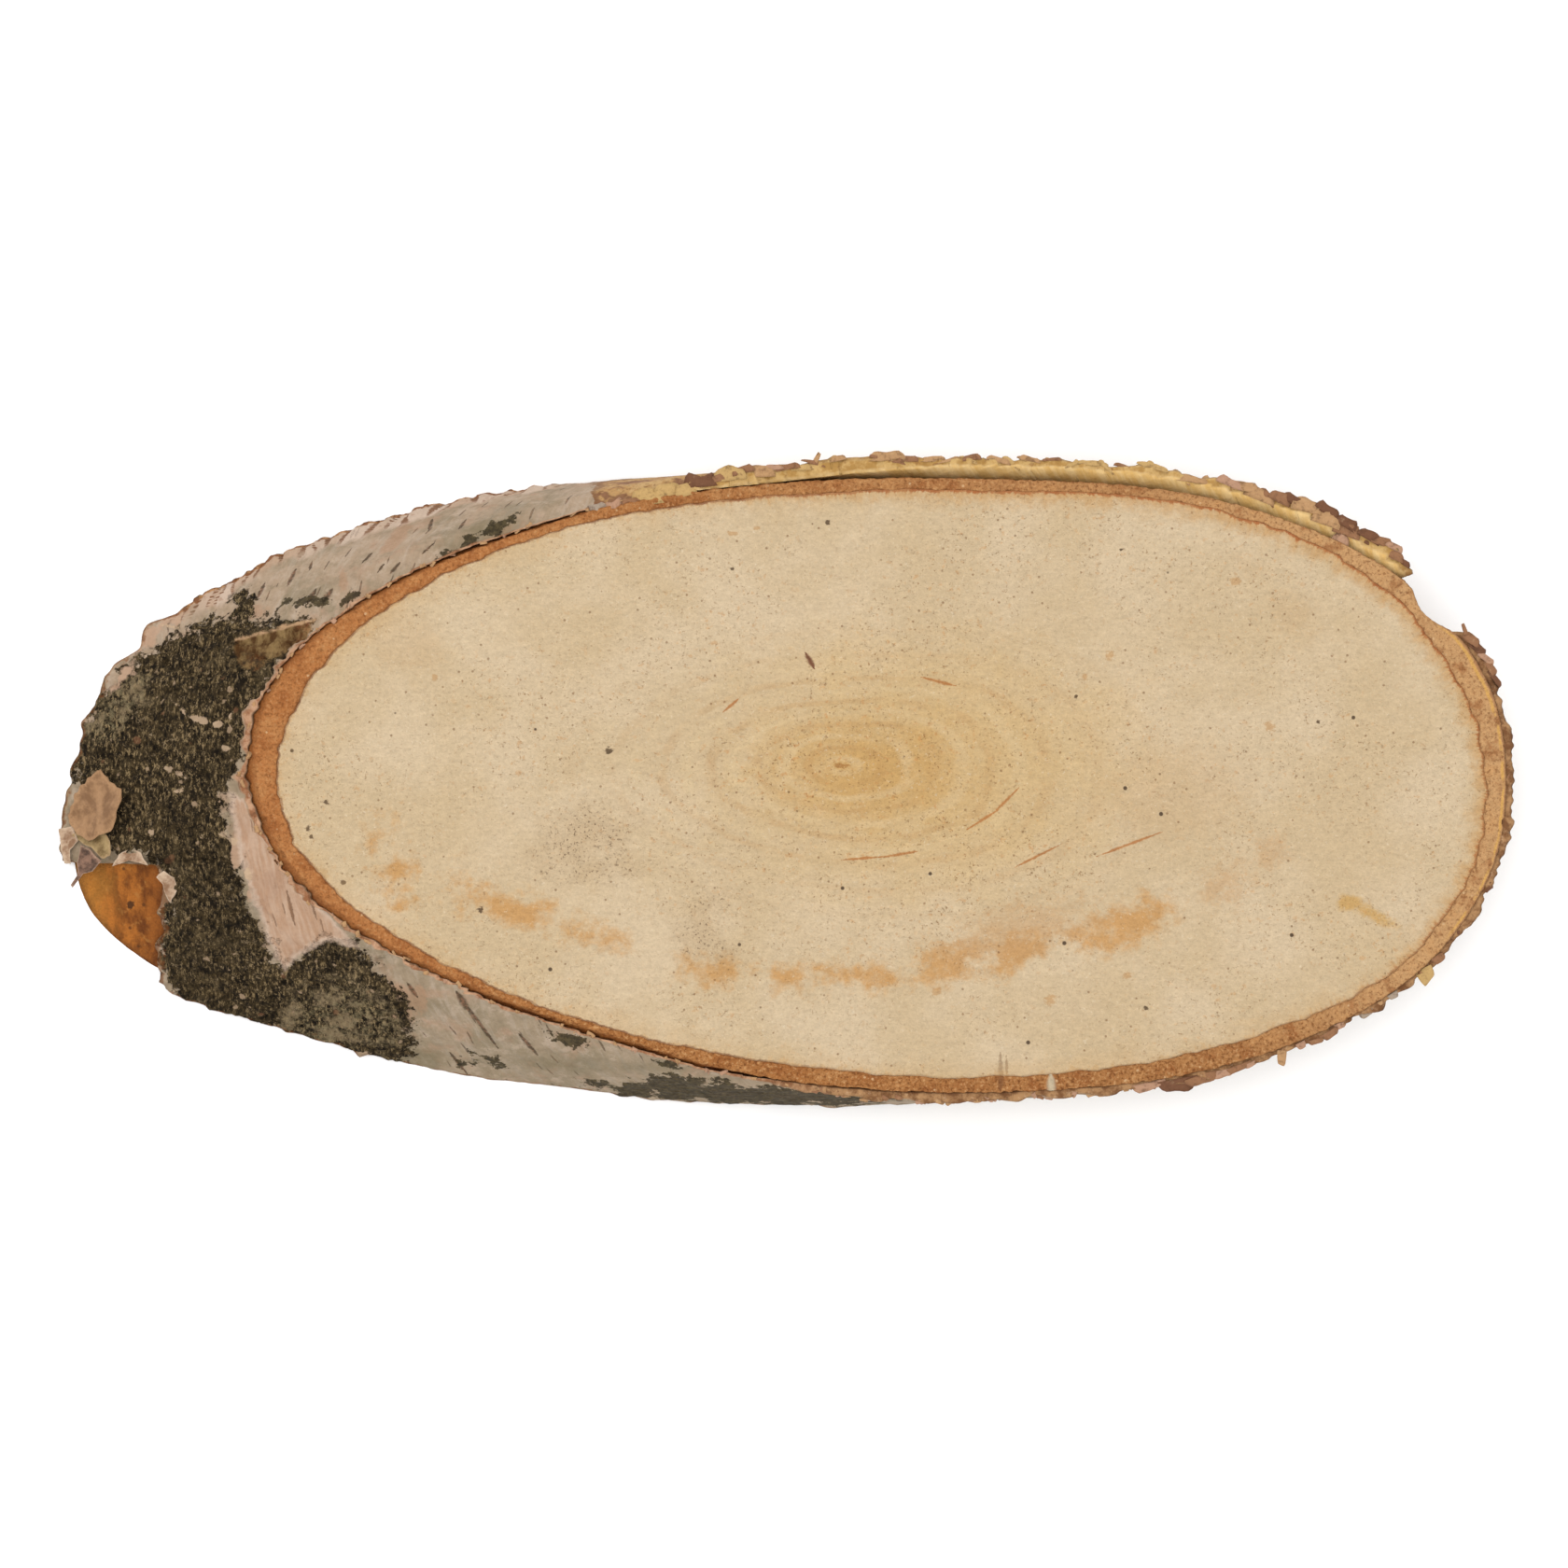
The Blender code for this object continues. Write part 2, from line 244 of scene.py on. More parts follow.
# %% Breaks in the papery bark
RIM_NOTCH = (26.5, 37.5, 0.009)
FOOT_TEAR = (192.0, 196.0, 215.0, 0.0073)
TEAR_EDGE = 2.2
RAGGED_EDGE = 0.0006
RAGGED_SIZE = 0.006
CHIP_REACH = 0.0011
CHIP_SIZE = 0.0038
CHIP_DEPTH = 0.0034
SMOOTH_END_HALF_WIDTH = 30.0
THIN_FIRST = 100.0
THIN_LAST = 268.0
THIN_RIM = 0.0002
THIN_DEPTH = 0.0032
LINING_DEPTH = 0.0036
CREVICE = (0.00003, 0.0002)
CREVICE_ZONES = ((104, 150), (222, 252))
FOOT_SWELLS = ((149.0, 4.2, 1.2), (137.5, 4.0, -0.5), (246.0, 12.0, 0.55), (280.0, 14.0, -0.3),
               (158.0, 6.0, 0.7), (217.0, 8.0, 0.7))
RIM_SWELLS = ((299.8, 5.6, 0.5), (297.6, 2.4, 0.4), (57.0, 3.5, 0.4), (19.0, 6.0, 0.3), (-2.0, 12.0, 0.1),
              (282.0, 12.0, -0.3), (312.0, 9.0, -0.3))
ROUGH_MIDDLE = 198.0
ROUGH_HALF_WIDTH = 46.0
LUMP_HEIGHT = 0.0007
LUMP_SIZE = 0.0045
print("foot tear", FOOT_TEAR, "rim notch", RIM_NOTCH)

# %% Ragged rim and foot
@lru_cache(maxsize=None)
def unevenness(turn, size, row):
    """Noise from 0 to 1 along the edge of the slice."""
    along_edge = place(turn, 0.0, TRUNK_RADIUS) / size
    return min(1.0, max(0.0, 0.5 + 0.75 * noise.noise(along_edge + Vector((0, 0, row)))))


def ragged(turn, row):
    """Unevenness in two sizes."""
    return 0.65 * unevenness(turn, RAGGED_SIZE, row) + 0.35 * unevenness(turn, RAGGED_SIZE / 2, row)


def notch(turn):
    """How much of the rim is torn out at the upper right."""
    first, last, depth = RIM_NOTCH
    degrees = math.degrees(turn) % 360
    rising = smooth_step((degrees - first) / TEAR_EDGE)
    falling = smooth_step((last - degrees) / TEAR_EDGE)
    return depth * rising * falling * (0.8 + 0.35 * ragged(turn, first))


def foot_tear(turn):
    """How much of the foot is gone at the lower left."""
    first, deepest, last, depth = FOOT_TEAR
    degrees = math.degrees(turn) % 360
    rising = smooth_step((degrees - first) / TEAR_EDGE)
    gone = min(1.0, max(0.0, (degrees - deepest) / (last - deepest)))
    return depth * rising * (1 - gone**1.4) * (0.85 + 0.3 * ragged(turn, first))


@lru_cache(maxsize=None)
def rim_height(turn):
    """Height of the upper edge of the papery bark."""
    return THICKNESS - RAGGED_EDGE * ragged(turn, 1.0) - notch(turn)


@lru_cache(maxsize=None)
def foot_height(turn):
    """Height of the lower edge of the papery bark."""
    return RAGGED_EDGE * 0.5 * ragged(turn, 2.0) + foot_tear(turn)


print("rim at the right end", round(rim_height(0.0), 4), "m")

# %% Lumps, chips and swells of the papery bark
def lumps(point, turn):
    """Height of the lumps of the rough bark at the left end."""
    away = (math.degrees(turn) - ROUGH_MIDDLE) / ROUGH_HALF_WIDTH
    share = smooth_step(1.5 - abs(away))
    coarse = noise.noise(point / LUMP_SIZE)
    fine = noise.noise(point / LUMP_SIZE * 2.3 + Vector((7, 3, 1)))
    return share * LUMP_HEIGHT * max(0.0, 0.3 + coarse + 0.6 * fine)


def chips(turn, height):
    """How far the broken edges of the bark stand out."""
    near_rim = smooth_step(1 - (THICKNESS - height) / CHIP_DEPTH)
    near_foot = smooth_step(1 - height / CHIP_DEPTH)
    rim_chip = max(0.0, unevenness(turn, CHIP_SIZE, 3.0) - 0.35) / 0.65
    foot_chip = max(0.0, unevenness(turn, CHIP_SIZE, 4.0) - 0.5) / 0.5
    from_right_end = abs((math.degrees(turn) + 180) % 360 - 180)
    near_rim *= 1 - 0.75 * smooth_step(1.4 - from_right_end / SMOOTH_END_HALF_WIDTH)
    return CHIP_REACH * (near_rim * rim_chip + 0.6 * near_foot * foot_chip)


def zone(turn, first, last, edge):
    """1 between two turns in degrees, with soft ends, and 0 elsewhere."""
    degrees = (math.degrees(turn) - first + 180) % 360 - 180 + first
    return smooth_step((degrees - first) / edge) * smooth_step((last - degrees) / edge)


def swelling(turn, rows):
    """Places where the bark stands out or is worn, in metres."""
    reach = 0.0
    for middle, half_width, height in rows:
        away = abs((math.degrees(turn) - middle + 180) % 360 - 180)
        reach += height * MM * smooth_step(1 - away / half_width)
    return reach


@lru_cache(maxsize=None)
def turn_values(turn):
    """What a section needs at each turn: thin share, crevice, swells at the foot and at the rim."""
    thin = zone(turn, THIN_FIRST, THIN_LAST, 14)
    open_share = max(zone(turn, first, last, 12) for first, last in CREVICE_ZONES)
    crevice = CREVICE[0] + (CREVICE[1] - CREVICE[0]) * open_share
    return thin, crevice, swelling(turn, FOOT_SWELLS), swelling(turn, RIM_SWELLS)


print("values at the left end", [round(value, 5) for value in turn_values(math.pi)])

# %% Both sides of the papery bark
def paper_inside(turn, height):
    """Inner radius of the papery bark."""
    down = max(0.0, rim_height(turn) - height)
    lip = max(0.0, profile_at(turn)[3]) * max(0.0, 1 - down / LINING_DEPTH) ** 1.6
    return inner_bark_radius(turn, height) + turn_values(turn)[1] + lip


def paper_outside(turn, height):
    """Outer radius of the papery bark."""
    thin, crevice, at_foot, at_rim = turn_values(turn)
    near_rim = smooth_step(1 - (rim_height(turn) - height) / THIN_DEPTH)
    near_foot = smooth_step(1 - (height - foot_height(turn)) / THIN_DEPTH)
    thickness = profile_at(turn)[2]
    thickness -= (thickness - THIN_RIM) * thin * near_rim
    base = inner_bark_radius(turn, height) + thickness + lip_opening(turn, height)
    base = max(base, paper_inside(turn, height) + THINNEST_BARK * (1 - 0.7 * thin))
    base += at_foot * near_foot + at_rim * near_rim
    return base + chips(turn, height) * (1 - 0.8 * thin) + lumps(place(turn, height, base), turn)


print("papery bark at the left end", round(paper_outside(math.pi, 0.0) - paper_inside(math.pi, 0.0), 4), "m")

# %% [markdown]
# Every piece is a grid of points. A band goes once round the trunk and closes on itself, a sheet is a
# small torn scrap with a front and a back. Numbers that a finish needs at each point, such as how far
# it is from the edge, are stored on the mesh as attributes, because the finish can read those.

# %% Faces of grids, discs and walls
def band_faces(columns, rows):
    """Faces of a grid that closes in both directions."""
    column = np.arange(columns)[:, None]
    row = np.arange(rows)[None, :]
    next_column = (column + 1) % columns
    next_row = (row + 1) % rows
    corners = (column * rows + row, next_column * rows + row,
               next_column * rows + next_row, column * rows + next_row)
    return np.stack(corners, axis=-1).reshape(-1, 4).tolist()


def disc_faces(first, columns, rings, up):
    """Faces of a disc of rings round a middle point, which is the point with the number first."""
    faces = []
    for column in range(columns):
        following = (column + 1) % columns
        faces.append((first, first + 1 + column, first + 1 + following))
        for ring in range(rings - 1):
            near = first + 1 + ring * columns
            far = near + columns
            faces.append((near + column, far + column, far + following, near + following))
    return faces if up else [face[::-1] for face in faces]


def wall_faces(upper, lower, columns):
    """Faces between two rings of points, each given by the number of its first point."""
    pairs = [(column, (column + 1) % columns) for column in range(columns)]
    return [(upper + here, lower + here, lower + after, upper + after) for here, after in pairs]


print("a band of 3 columns and 2 rows has", len(band_faces(3, 2)), "faces")

# %% Making a piece
def store(mesh, name, values):
    """Keeps one number or one vector for each point of a mesh."""
    values = np.asarray(values, dtype=np.float32)
    if values.ndim == 1:
        mesh.attributes.new(name, "FLOAT", "POINT").data.foreach_set("value", values)
    else:
        mesh.attributes.new(name, "FLOAT_VECTOR", "POINT").data.foreach_set("vector", values.ravel())


def make_piece(name, points, faces, finish, node, measures):
    """A piece that stands for a CAD node: it rides on the body root, and the node is hidden."""
    mesh = bpy.data.meshes.new(name)
    mesh.from_pydata(np.asarray(points).tolist(), [], faces)
    mesh.materials.append(finish)
    for measure, values in measures.items():
        store(mesh, measure, values)
    mesh.validate()
    mesh.shade_smooth()
    piece = add_object(name, mesh)
    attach(piece, "root")
    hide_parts(node)
    print(name, len(mesh.vertices), "points", len(mesh.polygons), "faces")


print("pieces ride on the body root")


# %% Measures on many points at once
def sweep(columns, section):
    """Sections put side by side round the trunk: points, turns, and what else a section gives."""
    turns = [math.tau * column / columns for column in range(columns)]
    points, *measures = (np.concatenate(part) for part in zip(*map(section, turns)))
    return points, np.repeat(turns, len(points) // columns), *measures


def trunk_normals(points):
    """Unit vectors straight out of the trunk at each point."""
    from_axis = np.asarray(points) - np.array(FOOT_CENTRE)
    axis = np.array(AXIS)
    out = from_axis - (from_axis @ axis)[:, None] * axis
    return out / np.linalg.norm(out, axis=1)[:, None]


def circle_of(turns):
    """A unit vector for each turn, which has no jump where the turn starts anew."""
    return np.stack([np.cos(turns), np.sin(turns), 0 * turns], axis=1)


def noise_at(points, size, seed=0):
    """The bumps at each point of an array."""
    return np.array([bumps(Vector(point), size, seed) for point in points])


def smooth_steps(values):
    """The soft step for an array."""
    values = np.clip(values, 0.0, 1.0)
    return values * values * (3 - 2 * values)


print("a half step is", float(smooth_steps(np.array(0.5))))

# %% [markdown]
# Patches such as lichen or a stain have an outline, in mm from the middle of the slice as it is seen
# from above. The finish needs to know how far a point is inside an outline, so that it can break the
# edge up with noise. That distance is found here and stored on the mesh.

# %% Depth inside a patch
FAR_OUTSIDE = -9.0


def depth_inside(points, outline):
    """How far each point is inside a closed outline, in mm. Outside it is less than 0."""
    x = points[:, 0] / MM
    y = points[:, 1] / MM
    nearest = np.full(len(points), 1e6)
    inside = np.zeros(len(points), dtype=bool)
    for (ax, ay), (bx, by) in zip(outline, outline[1:] + outline[:1]):
        ex = bx - ax
        ey = by - ay
        along = np.clip(((x - ax) * ex + (y - ay) * ey) / (ex * ex + ey * ey), 0, 1)
        nearest = np.minimum(nearest, np.hypot(x - ax - along * ex, y - ay - along * ey))
        if ay != by:
            crosses = ((ay > y) != (by > y)) & (x < ex * (y - ay) / ey + ax)
            inside ^= crosses
    return np.where(inside, nearest, -nearest)


def oval_depth(points, ovals):
    """The same for a group of ovals, each with a middle, two half-widths and a lean in degrees."""
    deepest = np.full(len(points), -50.0)
    for x, y, half_length, half_width, lean in ovals:
        dx = points[:, 0] / MM - x
        dy = points[:, 1] / MM - y
        cos_lean = math.cos(math.radians(lean))
        sin_lean = math.sin(math.radians(lean))
        along = (dx * cos_lean + dy * sin_lean) / half_length
        across = (dy * cos_lean - dx * sin_lean) / half_width
        deepest = np.maximum(deepest, (1 - np.hypot(along, across)) * half_width)
    return deepest


print("depth at the middle of a 2 mm oval", oval_depth(np.zeros((1, 3)), [(0, 0, 2, 2, 0)])[0])

# %% [markdown]
# A finish is a network of shader nodes. Written as Python it reads like a recipe: a Wire holds the
# output of a node, and adding or multiplying wires adds the Math nodes. Everything else comes from
# one method that takes the kind of node, its settings and what goes into its sockets.

# %% Wires
class Wire:
    """The output of a node, for use in sums."""

    def __init__(self, finish, socket):
        self.finish = finish
        self.socket = socket

    def coat(self, share, red, green, blue):
        """This colour with a paint laid over a share of it."""
        return self.finish.mix(share, self, paint(red, green, blue))

    def ramp(self, low, high):
        """A soft step made from this wire."""
        return self.finish.ramp(self, low, high)


def written_as(operation, reflected):
    """Lets a Math node be written as a sign between wires and numbers, such as 1 - mask."""
    def join(wire, other):
        return wire.finish.sum(operation, *((other, wire) if reflected else (wire, other)))
    return join


SIGNS = {"add": "ADD", "sub": "SUBTRACT", "mul": "MULTIPLY", "truediv": "DIVIDE", "pow": "POWER"}
for sign, operation in SIGNS.items():
    setattr(Wire, f"__{sign}__", written_as(operation, False))
    setattr(Wire, f"__r{sign}__", written_as(operation, True))
print("wires take", ", ".join(SIGNS))

# %% Finishes
class Finish:
    """A material under construction."""

    def __init__(self, name, roughness, specular):
        self.material = bpy.data.materials.new(name)
        self.material.use_nodes = True
        self.tree = self.material.node_tree
        self.shader = self.tree.nodes["Principled BSDF"]
        self.shader.inputs["Roughness"].default_value = roughness
        self.shader.inputs["Specular IOR Level"].default_value = specular
        metres = self.node("ShaderNodeTexCoord", output=3)
        self.mm = self.vector("SCALE", metres, Scale=1 / MM)

    def node(self, kind, settings=None, sockets=None, output=0):
        """A new node, as the wire of one of its outputs."""
        made = self.tree.nodes.new(kind)
        for name, value in (settings or {}).items():
            setattr(made, name, value)
        for name, value in (sockets or {}).items():
            self.connect(value, made.inputs[name])
        return Wire(self, made.outputs[output])

    def connect(self, value, socket):
        """Puts a wire or a plain value into a socket."""
        if isinstance(value, Wire):
            self.tree.links.new(value.socket, socket)
        else:
            socket.default_value = value

    def sum(self, operation, *values):
        """A Math node on wires and numbers."""
        return self.node("ShaderNodeMath", {"operation": operation}, dict(enumerate(values)))

    def vector(self, operation, *values, output=0, **named):
        """A Vector Math node."""
        sockets = dict(enumerate(values))
        sockets.update(named)
        return self.node("ShaderNodeVectorMath", {"operation": operation}, sockets, output)

    def stored(self, name, output=2):
        """A measure that was stored on the mesh."""
        return self.node("ShaderNodeAttribute", {"attribute_name": name}, output=output)

    def part(self, vector, axis):
        """One coordinate of a vector: 0 is X and 1 is Y."""
        return self.node("ShaderNodeSeparateXYZ", {}, {"Vector": vector}, axis)

    def shifted(self, where, shift):
        """The place that a pattern is read from, moved so that no two patterns look alike."""
        where = where or self.mm
        return self.vector("ADD", where, (shift, shift * 0.7, shift * 1.3)) if shift else where

    def noise(self, size, detail=2.0, roughness=0.5, where=None, shift=0.0):
        """Noise from 0 to 1 with lumps of this size in mm."""
        sockets = {"Vector": self.shifted(where, shift), "Scale": 1 / size, "Detail": detail,
                   "Roughness": roughness}
        return self.node("ShaderNodeTexNoise", {}, sockets)

    def cells(self, size, where=None, shift=0.0):
        """Distance to the nearest of many scattered points, in shares of the cell size."""
        sockets = {"Vector": self.shifted(where, shift), "Scale": 1 / size}
        return self.node("ShaderNodeTexVoronoi", {}, sockets)

    def ramp(self, value, low, high):
        """A soft step: 0 below low, 1 above high, and falling where low is more than high."""
        sockets = {"Value": value, "From Min": low, "From Max": high}
        return self.node("ShaderNodeMapRange", {"interpolation_type": "SMOOTHSTEP"}, sockets)

    def mix(self, share, first, second):
        """A colour between two colours."""
        return self.node("ShaderNodeMix", {"data_type": "RGBA"}, {0: share, 6: first, 7: second}, 2)

    def multiply(self, colour, factor):
        """A colour made lighter or darker by a wire."""
        grey = self.node("ShaderNodeCombineXYZ", {}, {"X": factor, "Y": factor, "Z": factor})
        return self.vector("MULTIPLY", colour, grey)

    def bump(self, height, distance, strength):
        """Relief finer than the mesh. height is in shares of distance, which is in metres."""
        sockets = {"Height": height, "Distance": distance, "Strength": strength}
        return self.node("ShaderNodeBump", {}, sockets)

    def put(self, **inputs):
        """Gives the shader its inputs."""
        for name, value in inputs.items():
            self.connect(value, self.shader.inputs[name.replace("_", " ")])


def paint(red, green, blue):
    """A colour given as it should look, in the steps of 0 to 255 that a screen uses."""
    steps = (red / 255, green / 255, blue / 255)
    return tuple(((step + 0.055) / 1.055) ** 2.4 / LIGHT_LEVEL for step in steps) + (1.0,)


print("mid grey as a paint", [round(value, 3) for value in paint(128, 128, 128)])

# %% [markdown]
# The sawn wood. Birch is a pale, even wood. Its yearly rings hardly show, apart from a few soft bands
# near the pith, where the wood has turned amber. The saw leaves a felt of short torn fibres with tiny
# brown pores. Damp has left orange stains in a curve along the lower side and a few grey smudges.
# The pith is to the left of the middle of the amber field. A grid of rings round it carries the
# relief, and stores how far a point has grown from the pith, which the ring pattern needs.

# %% Marks on the wood
PITH = Vector((0.0092, 0.0021))
AMBER_OVALS = ((22, 2, 31, 19, 0),)
AMBER_HEART = ((14, 1.5, 15, 8, 0),)
ORANGE_STAINS = (
    (-64, -9, 5, 3, 60),
    (-61, -15, 5, 4, 70),
    (-60, -20, 4, 2, 10),
    (-48, -17, 6, 3, 150),
    (-42, -21, 8, 4, 165),
    (-31, -24, 7, 3, 160),
    (-12, -30, 7, 3, 170),
    (0, -31, 9, 3, 0),
    (12, -31, 9, 3, 0),
    (25, -29, 9, 4, 10),
    (37, -27, 8, 4, 20),
    (53, -23, 10, 5, 15),
)
PINK_STAINS = ((69, -17, 6, 5, 40), (76, -12, 6, 4, 50), (36, -24, 18, 6, 15))
YELLOW_STAINS = ((88.8, -19.5, 2.2, 1.6, 0), (93, -21.5, 5, 1.2, -30))
GREY_SMUDGES = ((-33, -9.5, 9, 5, 20), (-29, -14, 6, 3, 0), (-12.5, -25, 4, 5, 60), (-12, -20, 5, 2.5, 10))
FAINT_STAINS = ((72.7, 33.7, 3, 4, 60), (80, 26, 5, 6, 40), (-60, 22, 6, 10, 60), (62, -2, 14, 10, 0))
RING_PACE = 74
RED_DASH = (3.4, 19.9, 4.9, 17.3, 0.42)
BROWN_DASHES = (
    (21.6, 16.0, 27.2, 14.6, 0.26),
    (28.8, -8.0, 34.2, -4.6, 0.22),
    (33.0, -5.4, 37.0, -1.4, 0.26),
    (8.6, -12.8, 17.4, -12.1, 0.18),
    (15.0, -12.4, 21.6, -11.3, 0.26),
    (36.2, -14.0, 43.8, -10.2, 0.2),
    (49.2, -12.2, 59.6, -8.3, 0.22),
    (-9.6, 10.4, -6.8, 12.8, 0.2),
)
GREY_STREAKS = ((34.1, -43.0, 34.2, -47.6, 0.35), (35.0, -43.2, 35.1, -46.6, 0.2))
DARK_DOTS = (
    (-27.5, 4.5, 0.55),
    (-71.8, -3.7, 0.45),
    (-74.7, -7.7, 0.55),
    (-74.2, -9.0, 0.35),
    (-69.1, -16.2, 0.45),
    (-47.6, -20.6, 0.5),
    (7.0, 40.3, 0.4),
    (53, 36, 0.3),
    (-8, 33, 0.3),
    (46, 13, 0.3),
    (57, -36, 0.35),
    (84, 9, 0.3),
)
TAN_DOTS = (
    (51.3, 19.4, 0.8, 1.0),
    (47.4, 16.0, 0.5, 1.0),
    (-8.0, 38.6, 1.0, 2.2),
    (-4.2, 39.4, 0.5, 1.5),
    (-69.1, 30.9, 1.2, 2.5),
    (42.0, -34.6, 0.9, 1.0),
    (54.0, -30.8, 0.7, 1.2),
    (24.0, -33.4, 0.8, 1.2),
    (-54.8, 16.0, 0.5, 1.0),
    (76.4, 8.2, 0.9, 1.2),
    (71.0, 31.0, 0.8, 1.0),
)
print(len(ORANGE_STAINS), "orange stains", len(BROWN_DASHES), "brown dashes")

# %% Shape of the wood
WOOD_COLUMNS = 600
WOOD_RINGS = 72
UNDERSIDE_RINGS = 24
WOOD_SIDE_ROWS = 3
CAMBIUM_WIGGLE = 0.00026
CAMBIUM_SHIFT = 0.0003
CAMBIUM_SHIFTS = ((45.0, 26.0, 0.55), (322.0, 16.0, 0.35), (225.0, 60.0, 0.2))
EDGE_DROP = 0.00003
EDGE_WIDTH_SHARE = 0.004
FELT_HEIGHT = 0.00004


@lru_cache(maxsize=None)
def cambium(turn):
    """How far the line between wood and bark wanders, in metres."""
    point = place(turn, THICKNESS, TRUNK_RADIUS)
    wander = CAMBIUM_WIGGLE * (1.2 * bumps(point, 0.0042, 11) + 0.8 * bumps(point, 0.0013, 12))
    return wander + CAMBIUM_SHIFT + swelling(turn, CAMBIUM_SHIFTS)


def wood_edge(turn, height):
    """Trunk radius of the line between wood and inner bark."""
    return wood_radius(turn, height) + GAP / 2 + cambium(turn)


def wood_face(height, pith, rings, lift):
    """Points and growth of one sawn face, from the pith outwards."""
    points = [Vector((pith.x, pith.y, height))]
    growth = [0.0]
    for ring in range(1, rings + 1):
        share = 1.0 if ring == rings else ring / (rings - 1) * (1 - EDGE_WIDTH_SHARE)
        for column in range(WOOD_COLUMNS):
            turn = math.tau * column / WOOD_COLUMNS
            edge = place(turn, height, wood_edge(turn, height))
            point = points[0].lerp(edge, share)
            felt = bumps(point, 0.0011, 13) + 0.7 * bumps(point, 0.0006, 14)
            drop = EDGE_DROP if ring == rings else 0.0
            point.z = height + lift * (FELT_HEIGHT * (felt - 0.9) - drop)
            points.append(point)
            growth.append(share)
    return points, growth


foot_pith = PITH + (FOOT_CENTRE - TOP_CENTRE).to_2d()
top_points, top_growth = wood_face(THICKNESS, PITH, WOOD_RINGS, 1)
foot_points, foot_growth = wood_face(0.0, foot_pith, UNDERSIDE_RINGS, -1)
wood_points = top_points + foot_points
wood_growth = top_growth + foot_growth
wood_faces = disc_faces(0, WOOD_COLUMNS, WOOD_RINGS, True)
wood_faces += disc_faces(len(top_points), WOOD_COLUMNS, UNDERSIDE_RINGS, False)
side_rings = [len(top_points) - WOOD_COLUMNS]
for row in range(1, WOOD_SIDE_ROWS):
    height = THICKNESS * (1 - row / WOOD_SIDE_ROWS)
    side_rings.append(len(wood_points))
    for column in range(WOOD_COLUMNS):
        turn = math.tau * column / WOOD_COLUMNS
        wood_points.append(place(turn, height, wood_edge(turn, height)))
        wood_growth.append(1.0)
side_rings.append(len(top_points) + len(foot_points) - WOOD_COLUMNS)
for upper, lower in zip(side_rings, side_rings[1:]):
    wood_faces += wall_faces(upper, lower, WOOD_COLUMNS)
print(len(wood_points), "points on the wood")

# %% Measures on the wood
wood_array = np.array(wood_points)
top_edge = np.array(top_points[-WOOD_COLUMNS:])[:, :2]
foot_edge = np.array(foot_points[-WOOD_COLUMNS:])[:, :2]
on_top = (wood_array[:, 2] > THICKNESS / 2).astype(float)


def nearest_edge(points, edge):
    """Distance to the nearest point of an edge in mm, and which point that is."""
    distance = np.full(len(points), 1e6)
    nearest = np.zeros(len(points), dtype=int)
    for number, corner in enumerate(edge):
        reach = np.hypot(points[:, 0] - corner[0], points[:, 1] - corner[1])
        closer = reach < distance
        distance[closer] = reach[closer]
        nearest[closer] = number
    return distance / MM, nearest


top_distance, top_nearest = nearest_edge(wood_array, top_edge)
foot_distance, foot_nearest = nearest_edge(wood_array, foot_edge)
edge_distance = np.where(on_top > 0, top_distance, foot_distance)
edge_turn = math.tau * np.where(on_top > 0, top_nearest, foot_nearest) / WOOD_COLUMNS
wood_measures = {
    "growth": wood_growth,
    "edge": edge_distance,
    "round": circle_of(edge_turn),
    "top": on_top,
    "amber": oval_depth(wood_array, AMBER_OVALS),
    "heart": oval_depth(wood_array, AMBER_HEART),
}
STAINS = {"orange": ORANGE_STAINS, "pink": PINK_STAINS, "yellow": YELLOW_STAINS, "grey": GREY_SMUDGES,
          "faint": FAINT_STAINS}
for name, ovals in STAINS.items():
    wood_measures[name] = np.where(on_top > 0, oval_depth(wood_array, ovals), FAR_OUTSIDE)
print("longest way to the edge", round(float(edge_distance.max()), 1), "mm")

# %% [markdown]
# The finish of the wood goes on in layers, as the eye finds them: a cream ground with soft clouds,
# the amber field with its rings, stains, then the short marks, and last the brown line where the bark
# begins. Fine noise breaks every edge, because nothing on a sawn face has a clean outline.

# %% Finish of the wood
wood = Finish("sawn_birch", roughness=0.75, specular=0.2)
clouds = wood.noise(16, detail=3)
felt = wood.noise(0.42, detail=3, roughness=0.75)
fibres = wood.noise(0.9, detail=3, roughness=0.7,
                    where=wood.vector("MULTIPLY", wood.mm, (0.6, 1.4, 1.0)), shift=31)
blotches = wood.noise(2.4, detail=4, roughness=0.65, shift=57)
tufts = wood.noise(5.5, detail=3, roughness=0.6, shift=88)
colour = wood.mix(clouds.ramp(0.35, 0.68), paint(213, 187, 148), paint(221, 197, 162))
amber = wood.ramp(wood.stored("amber") + (tufts - 0.5) * 14 + (clouds - 0.5) * 14, -9, 12)
colour = colour.coat(amber * 0.85, 214, 180, 126)
heart = wood.ramp(wood.stored("heart") + (tufts - 0.5) * 12 + (blotches - 0.5) * 8, -4, 7)
colour = colour.coat(heart * 0.8, 206, 162, 97)
growth = wood.stored("growth") + (wood.noise(8, detail=2, shift=5) - 0.5) * 0.035
rings = wood.sum("SINE", growth * RING_PACE)
ring_field = wood.ramp(wood.stored("growth"), 0.62, 0.12)
rings_seen = rings.ramp(0.45, 1.0) * ring_field * tufts.ramp(0.36, 0.58)
colour = colour.coat(rings_seen * 0.42, 226, 200, 156)
ring_lines = rings.ramp(-0.55, -1.0) * ring_field * tufts.ramp(0.62, 0.42)
colour = colour.coat(ring_lines * 0.35, 190, 142, 82)
broken = (blotches - 0.5) * 17 + (felt - 0.5) * 5
orange = wood.ramp(wood.stored("orange") + (tufts - 0.5) * 9 + (blotches - 0.5) * 9, -0.4, 4.0)
